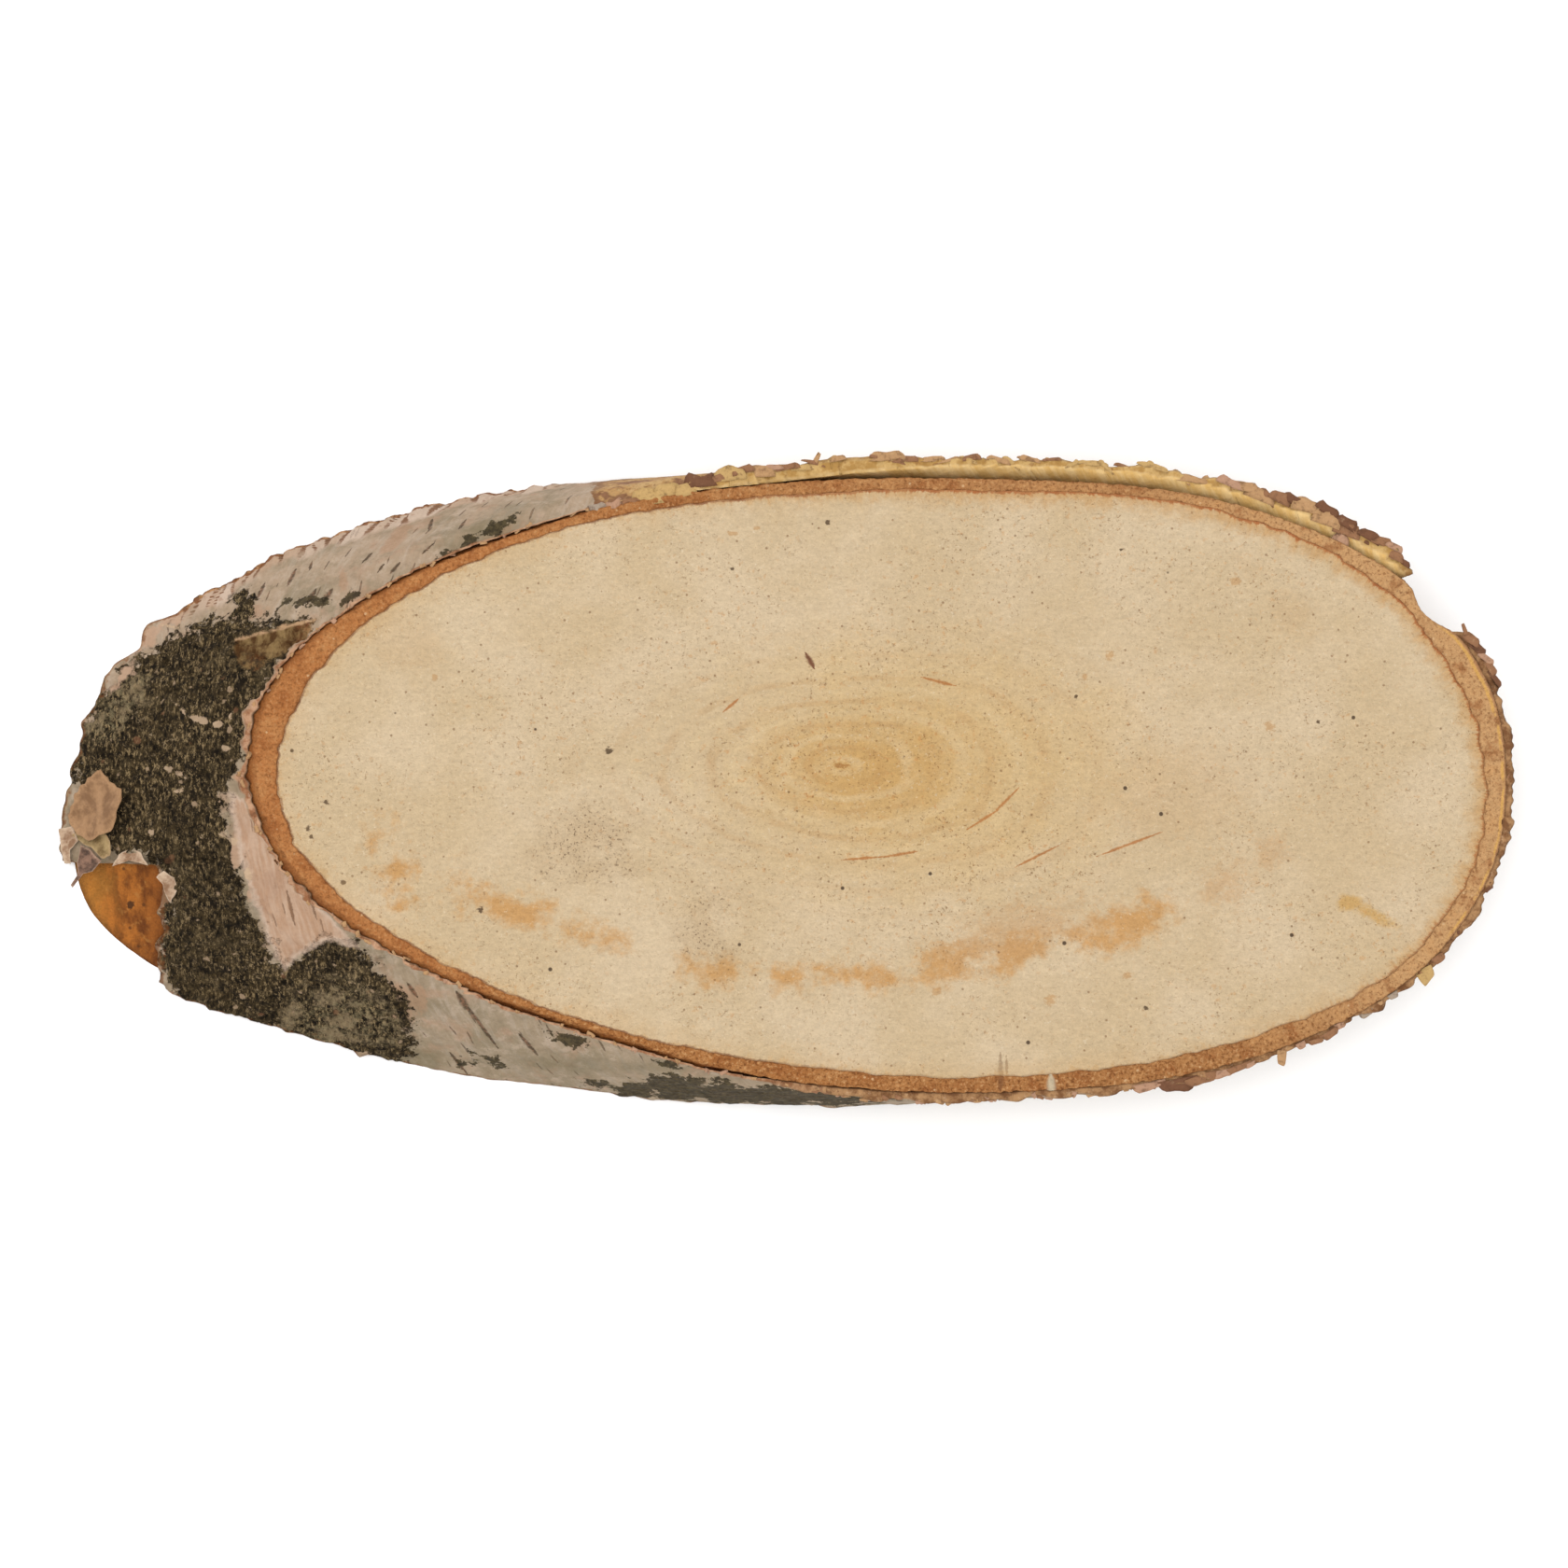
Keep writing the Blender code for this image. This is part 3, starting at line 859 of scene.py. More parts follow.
colour = colour.coat(orange * 0.82, 206, 152, 86)
pink = wood.ramp(wood.stored("pink") + broken * 0.7, 0.4, 4.5)
colour = colour.coat(pink * 0.5, 200, 156, 106)
yellow = wood.ramp(wood.stored("yellow") + broken * 0.12, -0.2, 0.8)
colour = colour.coat(yellow * 0.7, 206, 158, 78)
faint = wood.ramp(wood.stored("faint") + broken * 0.7, 0.0, 5.0)
colour = colour.coat(faint * 0.28, 204, 168, 122)
print("ground, amber field and stains")

# %% Fine marks of the wood
freckle_field = wood.ramp(wood.noise(13, detail=2, shift=71), 0.35, 0.65) * 0.7 + amber * 0.5 + 0.15
freckles = wood.ramp(wood.noise(1.15, detail=3, roughness=0.7, shift=3), 0.585, 0.68) * freckle_field
colour = colour.coat(freckles * 0.5, 204, 148, 88)
grit = wood.ramp(wood.noise(0.5, detail=2, roughness=0.8, shift=6), 0.6, 0.74) * (freckle_field + 0.3)
colour = colour.coat(grit * 0.55, 172, 122, 70)
pale_grit = wood.ramp(wood.noise(0.55, detail=2, roughness=0.8, shift=15), 0.6, 0.76)
colour = colour.coat(pale_grit * 0.5, 238, 220, 190)
pores = wood.ramp(wood.cells(2.3, shift=9), 0.1, 0.04)
colour = colour.coat(pores * 0.6, 146, 100, 56)
specks = wood.ramp(wood.cells(9.5, shift=21), 0.042, 0.026)
colour = colour.coat(specks * 0.9, 70, 50, 34)
dust = wood.ramp(wood.noise(0.55, detail=2, roughness=0.8, shift=33), 0.56, 0.68)
smudge = wood.ramp(wood.stored("grey") + (tufts - 0.5) * 10 + (blotches - 0.5) * 6, -2.0, 4.0)
colour = colour.coat(smudge * 0.3, 176, 142, 98)
colour = colour.coat(smudge * dust * 0.8, 92, 68, 42)


print("freckles, pores, specks and smudges")

# %% Single marks of the wood
def dash_share(finish, waver, x1, y1, x2, y2, half_width):
    """1 on a short mark between two points in mm that tapers at both ends, and 0 away from it."""
    run = (x2 - x1, y2 - y1, 0.0)
    flat = finish.vector("MULTIPLY", finish.mm, (1.0, 1.0, 0.0))
    offset = finish.vector("SUBTRACT", flat, (x1, y1, 0.0))
    dot = finish.vector("DOT_PRODUCT", offset, run, output=1)
    share = finish.sum("MINIMUM", finish.sum("MAXIMUM", dot / (run[0] ** 2 + run[1] ** 2), 0.0), 1.0)
    nearest = finish.vector("SCALE", run, Scale=share)
    away = finish.vector("DISTANCE", offset, nearest, output=1)
    taper = (1.1 - (share * 2 - 1) ** 2) * half_width
    return finish.ramp((away + waver) / taper, 1.5, 0.3)


def dot_share(finish, waver, x, y, radius, flatten=1.0):
    """1 on a small ragged mark in mm, and 0 away from it."""
    flat = finish.vector("MULTIPLY", finish.mm, (1.0, flatten, 0.0))
    away = finish.vector("DISTANCE", flat, (x, y * flatten, 0.0), output=1)
    return finish.ramp(away + waver * radius, radius * 1.1, radius * 0.6)


def any_of(finish, shape, waver, rows):
    """1 on any of several marks of one shape."""
    highest = 0.0
    for numbers in rows:
        highest = finish.sum("MAXIMUM", shape(finish, waver, *numbers), highest)
    return highest


on_top_wire = wood.stored("top")
waver = (felt - 0.5) * 0.35 + (blotches - 0.5) * 0.5
dashes = any_of(wood, dash_share, waver, BROWN_DASHES)
colour = colour.coat(dashes * on_top_wire * 0.8, 182, 112, 48)
colour = colour.coat(dash_share(wood, waver, *RED_DASH) * on_top_wire * 0.9, 112, 56, 32)
streak = any_of(wood, dash_share, waver, GREY_STREAKS)
colour = colour.coat(streak * on_top_wire * 0.6, 134, 104, 74)
raggedness = (felt - 0.5) * 2.0 + (fibres - 0.5) * 2.5
tan_dots = any_of(wood, dot_share, raggedness, TAN_DOTS)
colour = colour.coat(tan_dots * on_top_wire * 0.5, 196, 142, 78)
dots = any_of(wood, dot_share, raggedness, DARK_DOTS)
colour = colour.coat(dots * on_top_wire * 0.85, 78, 54, 32)
pith = dot_share(wood, raggedness * 1.4, PITH.x / MM, PITH.y / MM, 1.1, 2.0)
colour = colour.coat(pith * 0.6, 168, 108, 46)
print("dashes, dots and pith")

# %% Edge of the wood
edge = wood.stored("edge")
circle = wood.stored("round", output=1)
rays = wood.noise(0.55, detail=2, roughness=0.6, where=wood.vector("SCALE", circle, Scale=75.0), shift=41)
right_side = wood.part(circle, 0)
upper_side = wood.part(circle, 1)
stained_side = wood.ramp(right_side + upper_side * 0.6, 0.0, 0.85)
fringe = wood.ramp(edge + (rays - 0.5) * 2.6 + (blotches - 0.5) * 5.0, stained_side * 2.6 + 0.5, 0.0)
colour = colour.coat(fringe * (0.35 + stained_side * 0.3), 204, 154, 94)
bristles = wood.ramp(edge + (rays - 0.5) * 2.4 + (felt - 0.5) * 1.2, 0.7, 0.1) * stained_side
colour = colour.coat(bristles * 0.7, 184, 112, 54)
halo = wood.ramp(edge + (blotches - 0.5) * 5 + (tufts - 0.5) * 6, 4.0, 0.0)
colour = colour.coat(halo * 0.28, 206, 164, 108)
line_place = edge + (felt - 0.5) * 0.5 + (rays - 0.5) * 0.9 * stained_side
line = wood.ramp(line_place - stained_side * 0.15, 0.40, 0.12)
left_side = right_side.ramp(0.1, -0.5)
line_colour = wood.mix(stained_side, paint(128, 74, 38), paint(170, 90, 40))
lower_right = wood.ramp(right_side - upper_side, 0.5, 1.1)
broken_line = blotches.ramp(0.35, 0.6) * 0.5 + 0.5
line_share = line * broken_line * (0.7 + left_side * 0.1 - lower_right * 0.35)
colour = wood.mix(line_share, colour, line_colour)
colour = wood.multiply(colour, 1 + (felt - 0.5) * 0.5 + (fibres - 0.5) * 0.36)
relief = felt * 0.9 + fibres * 0.8 - pores * 0.6 - grit * 0.4
wood.put(Base_Color=colour, Normal=wood.bump(relief, 0.0003, 0.8))
make_piece("sawn_wood_face", wood_array, wood_faces, wood.material, "wood",
                        wood_measures)

# %% [markdown]
# The inner bark is soft and corky. Sawn, it looks like a band of coarse rusty crumbs, redder at the
# upper left and paler at the right. Where the papery bark is torn away at the foot, its outer side
# shows: smooth, orange-brown, with darker drips and a few dark spots.

# %% Shape of the inner bark
INNER_COLUMNS = 1440
INNER_WALL_ROWS = 22
INNER_TOP_ROWS = 16
INNER_BACK_ROWS = 2
CRUMB_HEIGHT = 0.00009
RIM_CRUMB = 0.00022
OUTER_EDGE_DROP = 0.00006
CLOSED_SEAM = (250.0, 28.0)
SEAM_FILL = 0.00032
INNER_EDGE_DROP = 0.00003
BARE_BULGE = (206.0, 11.0, 0.0003)
BARE_BULGE_HEIGHT = 0.0045


def inner_bark_column(turn):
    """One closed section through the inner bark: up the outside, over the top, down the inside."""
    points = []
    wall = []
    across = []
    for row in range(INNER_WALL_ROWS):
        height = THICKNESS * row / INNER_WALL_ROWS
        low = smooth_step(1 - height / BARE_BULGE_HEIGHT)
        middle, half_width, reach = BARE_BULGE
        bulge = reach * low * smooth_step(1 - abs(math.degrees(turn) - middle) / half_width)
        points.append(place(turn, height, inner_bark_radius(turn, height) + bulge))
        wall.append(1.0)
        across.append(1.0)
    inside = wood_edge(turn, THICKNESS)
    outside = inner_bark_radius(turn, THICKNESS)
    for row in range(INNER_TOP_ROWS + 1):
        share = 1 - row / INNER_TOP_ROWS
        radius = inside + (outside - inside) * share
        edge_drop = smooth_step(1 - (1 - share) * 9) * OUTER_EDGE_DROP
        edge_drop += smooth_step(1 - share * 8) * INNER_EDGE_DROP
        point = place(turn, THICKNESS, radius)
        point.z -= edge_drop
        points.append(point)
        wall.append(0.0)
        across.append(share)
    for row in range(1, INNER_BACK_ROWS + 1):
        height = THICKNESS * (1 - row / INNER_BACK_ROWS)
        points.append(place(turn, height, wood_edge(turn, height)))
        wall.append(0.0)
        across.append(0.0)
    return points, wall, across


print("one section has", len(inner_bark_column(0.0)[0]), "points")

# %% Points of the inner bark
inner_array, inner_turn, inner_wall, inner_across = sweep(INNER_COLUMNS, inner_bark_column)
inner_rows = len(inner_array) // INNER_COLUMNS
crumbs_high = noise_at(inner_array, 0.0009, 21) + 0.6 * noise_at(inner_array, 0.0005, 22)
at_top = (inner_array[:, 2] > THICKNESS - 0.0006) & (inner_wall < 0.5)
inner_array[:, 2] += np.where(at_top, CRUMB_HEIGHT * np.minimum(crumbs_high - 0.5, 0.1), 0.0)
rim_side = smooth_steps((inner_across - 0.75) / 0.25) * (inner_array[:, 2] > THICKNESS - 0.001)
wall_lumps = noise_at(inner_array, 0.006, 23) * 0.00025 + noise_at(inner_array, 0.0014, 24) * 0.0001
out = trunk_normals(inner_array)
inner_degrees = np.degrees(inner_turn)
closed = smooth_steps((inner_degrees - CLOSED_SEAM[0]) / 12)
closed += smooth_steps((CLOSED_SEAM[1] - inner_degrees) / 6)
closed *= (inner_array[:, 2] > THICKNESS - 0.0005) * smooth_steps((inner_across - 0.6) / 0.4)
move = rim_side * RIM_CRUMB * (crumbs_high - 0.6) + inner_wall * (wall_lumps - 0.00015)
move += closed * SEAM_FILL
inner_array += out * move[:, None]
inner_array[:, 2] = np.clip(inner_array[:, 2], 0.0, THICKNESS)
print(inner_rows, "rows in the inner bark's section")

# %% Finish of the inner bark
inner = Finish("rusty_inner_bark", roughness=0.85, specular=0.15)
around = inner.part(inner.stored("round", output=1), 0)
around_y = inner.part(inner.stored("round", output=1), 1)
clumps = inner.noise(3.2, detail=4, roughness=0.6)
grit = inner.noise(0.36, detail=2, roughness=0.7, shift=12)
crumb = inner.noise(0.6, detail=3, roughness=0.75, shift=4)
colour = inner.mix(around.ramp(-0.5, 0.85), paint(184, 119, 66), paint(204, 158, 108))
crumbly = around_y.ramp(0.78, 0.95)
colour = colour.coat(crumbly * 0.5, 170, 116, 66)
low_side = around_y.ramp(-0.55, -0.9)
colour = colour.coat(low_side * 0.75, 164, 106, 54)
colour = colour.coat(clumps.ramp(0.5, 0.68) * 0.4, 204, 148, 92)
colour = colour.coat(clumps.ramp(0.5, 0.32) * 0.6, 148, 84, 38)
light_crumbs = crumb.ramp(0.53, 0.66) * (0.32 + crumbly * 0.15 + low_side * 0.3)
colour = colour.coat(light_crumbs, 214, 166, 114)
dark_crumbs = crumb.ramp(0.49, 0.36) * (0.58 + crumbly * 0.1 + low_side * 0.3)
colour = colour.coat(dark_crumbs, 122, 72, 34)
bright_crumbs = inner.ramp(inner.cells(2.1, shift=18), 0.13, 0.06)
colour = colour.coat(bright_crumbs * 0.6, 228, 190, 144)
across = inner.stored("across")
wood_side = inner.ramp(across + (clumps - 0.5) * 0.2 + (crumb - 0.5) * 0.15, 0.14, 0.0)
colour = colour.coat(wood_side * (0.25 + around.ramp(0.2, -0.5) * 0.3), 124, 72, 34)
bark_side = inner.ramp(across + (clumps - 0.5) * 0.2, 0.88, 1.0)
colour = colour.coat(bark_side * (0.4 - low_side * 0.3), 132, 78, 36)
upper_right = around.ramp(0.86, 0.9) * clumps.ramp(0.4, 0.5)
line_place = across + (clumps - 0.5) * 0.18
yellow_line = line_place.ramp(0.74, 0.8) * line_place.ramp(0.93, 0.86) * upper_right
colour = colour.coat(yellow_line * 0.8, 222, 170, 92)
outer_strip = line_place.ramp(0.88, 0.95) * upper_right
colour = colour.coat(outer_strip * 0.6, 172, 122, 84)
fibre_waver = (crumb - 0.5) * 0.5
fleck = dash_share(inner, fibre_waver, 42.0, -46.2, 42.2, -50.2, 0.62)
colour = colour.coat(fleck * 0.85, 206, 190, 160)
smear = dash_share(inner, fibre_waver, 34.4, -45.6, 34.0, -49.2, 0.5)
colour = colour.coat(smear * 0.6, 108, 64, 38)
print("sawn face of the inner bark")

# %% Bare outer side of the inner bark
drips = inner.noise(2.6, detail=4, roughness=0.6, shift=8,
                    where=inner.vector("MULTIPLY", inner.mm, (1.3, 0.55, 1.0)))
bare = inner.mix(drips.ramp(0.35, 0.68), paint(112, 60, 20), paint(186, 112, 44))
tan_streaks = inner.noise(1.2, detail=3, shift=27)
bare = bare.coat(tan_streaks.ramp(0.55, 0.75) * 0.5, 196, 136, 70)
from_left = inner.part(inner.mm, 0)
bare = bare.coat(inner.ramp(from_left + (drips - 0.5) * 10, -104.0, -109.0) * 0.5, 196, 134, 56)
bare = bare.coat(inner.ramp(from_left + (drips - 0.5) * 10, -102.0, -97.0) * 0.5, 112, 56, 22)
spots = inner.ramp(inner.cells(2.4, shift=6), 0.16, 0.09)
bare = bare.coat(spots * 0.6, 66, 38, 18)
main_spot = inner.ramp(inner.vector("DISTANCE", inner.vector("MULTIPLY", inner.mm, (1.0, 1.0, 0.0)),
                                    (-103.0, -19.9, 0.0), output=1) + (grit - 0.5), 0.75, 0.45)
bare = bare.coat(main_spot * 0.85, 52, 32, 18)
colour = inner.mix(inner.stored("wall"), colour, bare)
colour = inner.multiply(colour, 1 + (grit - 0.5) * 0.8)
relief = grit * 0.8 + clumps * 0.4 + crumb * 0.8
inner.put(Base_Color=colour, Normal=inner.bump(relief, 0.0003, 0.7))
inner_measures = {"wall": inner_wall, "across": inner_across, "round": circle_of(inner_turn)}
make_piece("inner_bark_ring", inner_array, band_faces(INNER_COLUMNS, inner_rows),
                         inner.material, "inner_bark", inner_measures)

# %% [markdown]
# The outer bark is what makes a birch a birch. On the slope at the left end there are several kinds:
# dark crusty lichen over most of it, smooth grey-pink paper above and below with short dark slits
# that run round the trunk, a bare pink strip beside the ring, and a brown hollow under a torn edge.
# Each patch has an outline. Along the top the paper stands off as an open lip with a yellow lining.

# %% Patches on the outer bark
LICHEN = (
    (-99, 20), (-96.4, 22.4), (-91.6, 24.3), (-87, 25.2), (-86.4, 28.5), (-84.9, 30.2), (-83.4, 28.1),
    (-83.2, 24.9), (-74.1, 24.4), (-76.6, 20.2), (-79.6, 16.4), (-82.2, 12.4), (-84.0, 6.5), (-85.6, 1.6),
    (-87.3, -3.7), (-86.6, -8.2), (-85.6, -14.0), (-83.2, -20.7), (-81.0, -25.7), (-79.2, -29.8),
    (-75.9, -27.6), (-72.5, -25.4), (-67.4, -24.8), (-65.2, -27.7), (-62.6, -31.0), (-60.0, -34.8),
    (-58.6, -38.9), (-58.4, -43.4), (-64.4, -45.8), (-74.7, -43.6), (-86.4, -40.0), (-95.2, -35.3),
    (-98.0, -30.1), (-97.9, -22.1), (-96.2, -18.4), (-97.1, -14.7), (-100.4, -12.7), (-105.5, -11.9),
    (-107.7, -8), (-109, -2), (-112.6, 1), (-112.0, 5.1), (-109.0, 11.7), (-104.0, 17.5),
)
PINK_STRIP = (
    (-87.3, -2.0), (-84.6, -3.0), (-82.0, -8.2), (-77.3, -14.9), (-70.7, -22.4), (-66.2, -26.5),
    (-71.8, -25.4), (-76.4, -27.8), (-78.6, -30.4), (-80.6, -26.8), (-82.8, -20.4), (-85.2, -13.4),
    (-86.4, -7.6),
)
HOLLOW = (
    (-86.1, 21.9), (-82.4, 22.8), (-79.1, 23.7), (-73.3, 25.2), (-75.3, 21.2), (-79.1, 18.9), (-82.6, 16.9),
    (-85.3, 17.4), (-86.4, 19.7),
)
OLIVE_BLOTCHES = (
    (-49.6, -44.2, 1.9, 0.9, 10),
    (-46.0, -44.2, 2.4, 1.0, -30),
    (-33.6, -41.0, 3.2, 1.0, -12),
    (-29.2, -47.9, 1.8, 0.9, 10),
    (-23.4, -48.9, 3.6, 1.7, 8),
    (-16.8, -48.5, 5.2, 2.2, -8),
    (-9.4, -49.4, 5.0, 1.9, -8),
    (-1.0, -49.8, 7.0, 1.9, -2),
    (9.0, -50.1, 9.0, 1.4, 0),
    (-17.9, -44.9, 2.0, 0.5, -8),
    (-45.7, 38.9, 4.4, 1.1, 24),
    (-52.0, 35.6, 2.4, 0.5, 26),
    (-74.5, 27.9, 3.4, 0.8, 8),
    (-68.0, 28.6, 1.6, 0.8, 34),
)
TAN_HAZE = (
    (-60.5, -35.5, 3.5, 3.0, 20),
    (-57.0, -34.5, 1.0, 3.0, 10),
    (-69.3, 31.2, 0.8, 2.0, 5),
    (-61.0, 38.0, 1.2, 3.4, -40),
    (-67.0, 28.2, 3.0, 1.0, 38),
    (-90.0, 29.0, 2.0, 1.6, 30),
    (-44.0, 38.4, 3.0, 0.5, 26),
    (-84.0, 26.0, 3.0, 1.2, 10),
)
GREEN_HAZE = ((-36, -45.0, 9, 1.6, -5), (-24, -45.4, 7, 1.0, 0), (-58, -44, 5, 2.5, 0),
              (-47, 38.5, 7, 2.5, 24))
SLITS = (
    (-51.4, -33.4, -49.4, -36.6, 0.50),
    (-50.6, -34.6, -44.8, -42.6, 0.24),
    (-41.6, -40.1, -38.6, -43.6, 0.28),
    (-52.7, -43.0, -49.9, -46.6, 0.24),
    (-59.2, -32.0, -57.5, -34.4, 0.30),
    (-76.8, 33.2, -78.2, 30.3, 0.28),
    (-81.7, 31.0, -82.9, 28.4, 0.26),
    (-74.3, 34.3, -74.7, 32.9, 0.20),
    (-73.5, 29.9, -74.9, 27.5, 0.34),
    (-70.9, 30.0, -72.3, 27.8, 0.38),
    (-64.6, 35.7, -66.3, 34.0, 0.16),
    (-62.8, 33.8, -63.8, 32.5, 0.14),
    (-60.2, 34.1, -61.9, 32.2, 0.22),
    (-55.3, 41.0, -55.9, 39.1, 0.26),
    (-54.8, 37.2, -57.1, 35.1, 0.14),
    (-49.9, 40.9, -51.1, 39.3, 0.18),
    (-78.1, -17.5, -76.8, -23.1, 0.22),
    (-74.9, -17.3, -73.3, -22.2, 0.16),
)
YELLOW_LICHEN = ((-66, -37, 6, 4, -40), (-72, -38, 6, 5, 0), (-105, 11, 3, 7, -35))
BARE_GREY = ((-85.6, -10.5, 1.0, 3.6, -8), (-83.4, -16.0, 0.7, 3.4, -8), (-100.6, 22.0, 3.4, 1.2, 40),
             (-96.0, 25.6, 2.6, 1.2, 25), (-104.4, 15.6, 3.0, 0.8, 48))
CREAM_CHIPS = (
    (-97.2, 12.2, 0.8, 0.3, 20),
    (-95.6, 11.7, 0.8, 0.3, -40),
    (-94.0, 10.2, 0.7, 0.3, -60),
    (-92.6, 9.4, 1.3, 0.35, -18),
    (-91.0, 8.9, 0.8, 0.6, -10),
    (-88.7, 8.4, 0.8, 0.6, -30),
    (-86.5, 9.6, 0.5, 0.9, 0),
    (-87.2, 4.6, 1.1, 0.5, 10),
    (-99.2, -8.4, 0.7, 0.7, 0),
    (-96.8, 1.6, 0.8, 0.6, -60),
    (-94.4, 0.6, 0.9, 0.5, -30),
    (-94.9, -2.0, 0.6, 0.3, 0),
    (-87.6, -8.6, 1.0, 0.5, 40),
    (-86.2, -9.6, 0.6, 0.9, 20),
    (-91, -9.2, 0.6, 0.3, 0),
    (-96.2, 23.9, 1.6, 0.3, -10),
    (-92.2, 23.1, 1.2, 0.3, -14),
    (-84.2, -15.0, 0.6, 1.2, 10),
    (-66.5, -43.0, 1.4, 0.5, 0),
)
print(len(LICHEN), "corners in the lichen's outline")

# %% Shape of the outer bark
PAPER_COLUMNS = 1500
PAPER_WALL_ROWS = 46
PAPER_RIM_ROWS = 3
PAPER_LINING_ROWS = 12
FINE_RAG = 0.00035
PLATE_FIRST = 103.0
PLATE_LAST = 149.0
PLATE_START = -92.0
PLATE_STOP = -24.0
PLATE_WIDTHS = (1.3, 3.8)
PLATE_REACHES = (0.1, 1.0)
PLATE_DEPTH = 0.0036
TORN_FROM = 32.0
TORN_DEPTH = 17.0
TORN_SHALLOW = 3.0
TORN_RISE = 0.45
plate_rng = random.Random(7)
plate_edges = [PLATE_START]
while plate_edges[-1] < PLATE_STOP:
    plate_edges.append(plate_edges[-1] + plate_rng.uniform(*PLATE_WIDTHS))
plate_reaches = [plate_rng.uniform(*PLATE_REACHES) for _ in plate_edges]
plate_shades = [plate_rng.random() for _ in plate_edges]


def paper_column(turn):
    """One closed section through the papery bark: points, their kinds, and heights of foot and rim."""
    rag = FINE_RAG * (0.5 + bumps(place(turn, THICKNESS, TRUNK_RADIUS), 0.0012, 31))
    low = foot_height(turn)
    high = rim_height(turn) - max(0.0, rag)
    points = []
    kinds = []
    for row in range(PAPER_WALL_ROWS + 1):
        height = low + (high - low) * row / PAPER_WALL_ROWS
        points.append(place(turn, height, paper_outside(turn, height)))
        kinds.append(0)
    outside = paper_outside(turn, high)
    inside = paper_inside(turn, high)
    for row in range(1, PAPER_RIM_ROWS + 1):
        share = row / (PAPER_RIM_ROWS + 1)
        point = place(turn, high, outside + (inside - outside) * share)
        point.z += 0.0001 * bumps(point, 0.0011, 32)
        points.append(point)
        kinds.append(1)
    for row in range(PAPER_LINING_ROWS + 1):
        height = high - (high - low) * (row / PAPER_LINING_ROWS) ** 1.5
        points.append(place(turn, height, paper_inside(turn, height)))
        kinds.append(2)
    return points, kinds, [low] * len(points), [high] * len(points)


print(len(plate_edges) - 1, "plates along the upper foot")

# %% Points of the outer bark
paper_array, paper_turn, paper_kinds, paper_low, paper_high = sweep(PAPER_COLUMNS, paper_column)
paper_rows = len(paper_array) // PAPER_COLUMNS
to_foot = (paper_array[:, 2] - paper_low) / MM
to_rim = (paper_high - paper_array[:, 2]) / MM
on_wall = (paper_kinds == 0).astype(float)
print(paper_rows, "rows in the papery bark's section")

# %% Relief of the outer bark
lichen = depth_inside(paper_array, LICHEN)
pink_strip = depth_inside(paper_array, PINK_STRIP)
hollow = depth_inside(paper_array, HOLLOW)
blotch = oval_depth(paper_array, OLIVE_BLOTCHES)
yellow_lichen = oval_depth(paper_array, YELLOW_LICHEN)
cream = oval_depth(paper_array, CREAM_CHIPS)
haze = oval_depth(paper_array, GREEN_HAZE)
tan_haze = oval_depth(paper_array, TAN_HAZE)
bare_grey = oval_depth(paper_array, BARE_GREY)
degrees = np.degrees(paper_turn)
plate_zone = smooth_steps((degrees - PLATE_FIRST) / 3) * smooth_steps((PLATE_LAST - degrees) / 6)
along_trunk = paper_array @ np.array(AXIS) / MM + 1.6 * noise_at(paper_array, 0.004, 38)
plate_number = np.clip(np.searchsorted(plate_edges, along_trunk, side="right") - 1, 0, len(plate_edges) - 2)
plate_start = np.array(plate_edges)[plate_number]
plate_width = np.array(plate_edges)[plate_number + 1] - plate_start
along_plate = np.clip((along_trunk - plate_start) / plate_width, 0, 1)
plate_reach = np.array(plate_reaches)[plate_number]
plate_shade = np.array(plate_shades)[plate_number]
frame_points = np.stack([paper_array @ np.array(UP_SLOPE), paper_array @ np.array(SIDEWAYS),
                         paper_array @ np.array(AXIS) * 5], axis=1)
coarse = noise_at(paper_array, 0.0021, 33)
fine = noise_at(paper_array, 0.0009, 34)
swells = noise_at(paper_array, 0.009, 35)
ridges = noise_at(frame_points, 0.005, 36)
crack = noise_at(paper_array, 0.0048, 37)
edge_noise = coarse * 1.6 + fine * 0.9
in_lichen = smooth_steps((lichen + edge_noise + 0.5) / 1.1)
in_pink = smooth_steps((pink_strip + edge_noise * 0.5 + 0.3) / 0.8)
in_hollow = smooth_steps((hollow + edge_noise * 0.4 + 0.2) / 0.9)
crust = 0.30 + 0.55 * np.abs(coarse) + 0.45 * fine
cracks = 1 - smooth_steps(np.abs(crack) / 0.07)
paper_lift = 0.03 * ridges + 0.20 * swells
lift = paper_lift * (1 - in_lichen) + in_lichen * (crust - 0.35 * cracks)
lift += smooth_steps((blotch + 0.5) / 1.0) * (0.12 + 0.25 * np.maximum(fine, 0))
lift += smooth_steps((cream + edge_noise * 0.3 + 0.3) / 0.6) * 0.35
lift -= in_pink * 0.25
lift -= in_hollow * 0.8 * smooth_steps((to_rim - 1.0) / 2.5)
foot_rag = noise_at(paper_array, 0.0012, 39) * smooth_steps(1 - to_foot / 1.2)
lift += 0.35 * foot_rag
near_foot = smooth_steps(1 - to_foot * MM / PLATE_DEPTH) ** 0.7
plate_arch = (4 * along_plate * (1 - along_plate)) ** 0.6
plate_lift = plate_zone * near_foot * plate_reach * (plate_arch * (0.95 + 0.5 * fine))
fade = smooth_steps(to_foot / 0.5 + 0.25) * on_wall
lining_lift = (paper_kinds == 2) * (0.12 * swells - 0.08 * np.abs(fine))
whole_lift = lift * fade + plate_lift * on_wall + lining_lift
paper_array += trunk_normals(paper_array) * (whole_lift * MM)[:, None]
paper_array[:, 2] = np.clip(paper_array[:, 2], 0.0, THICKNESS)
print("highest lift", round(float(lift.max()), 2), "mm")

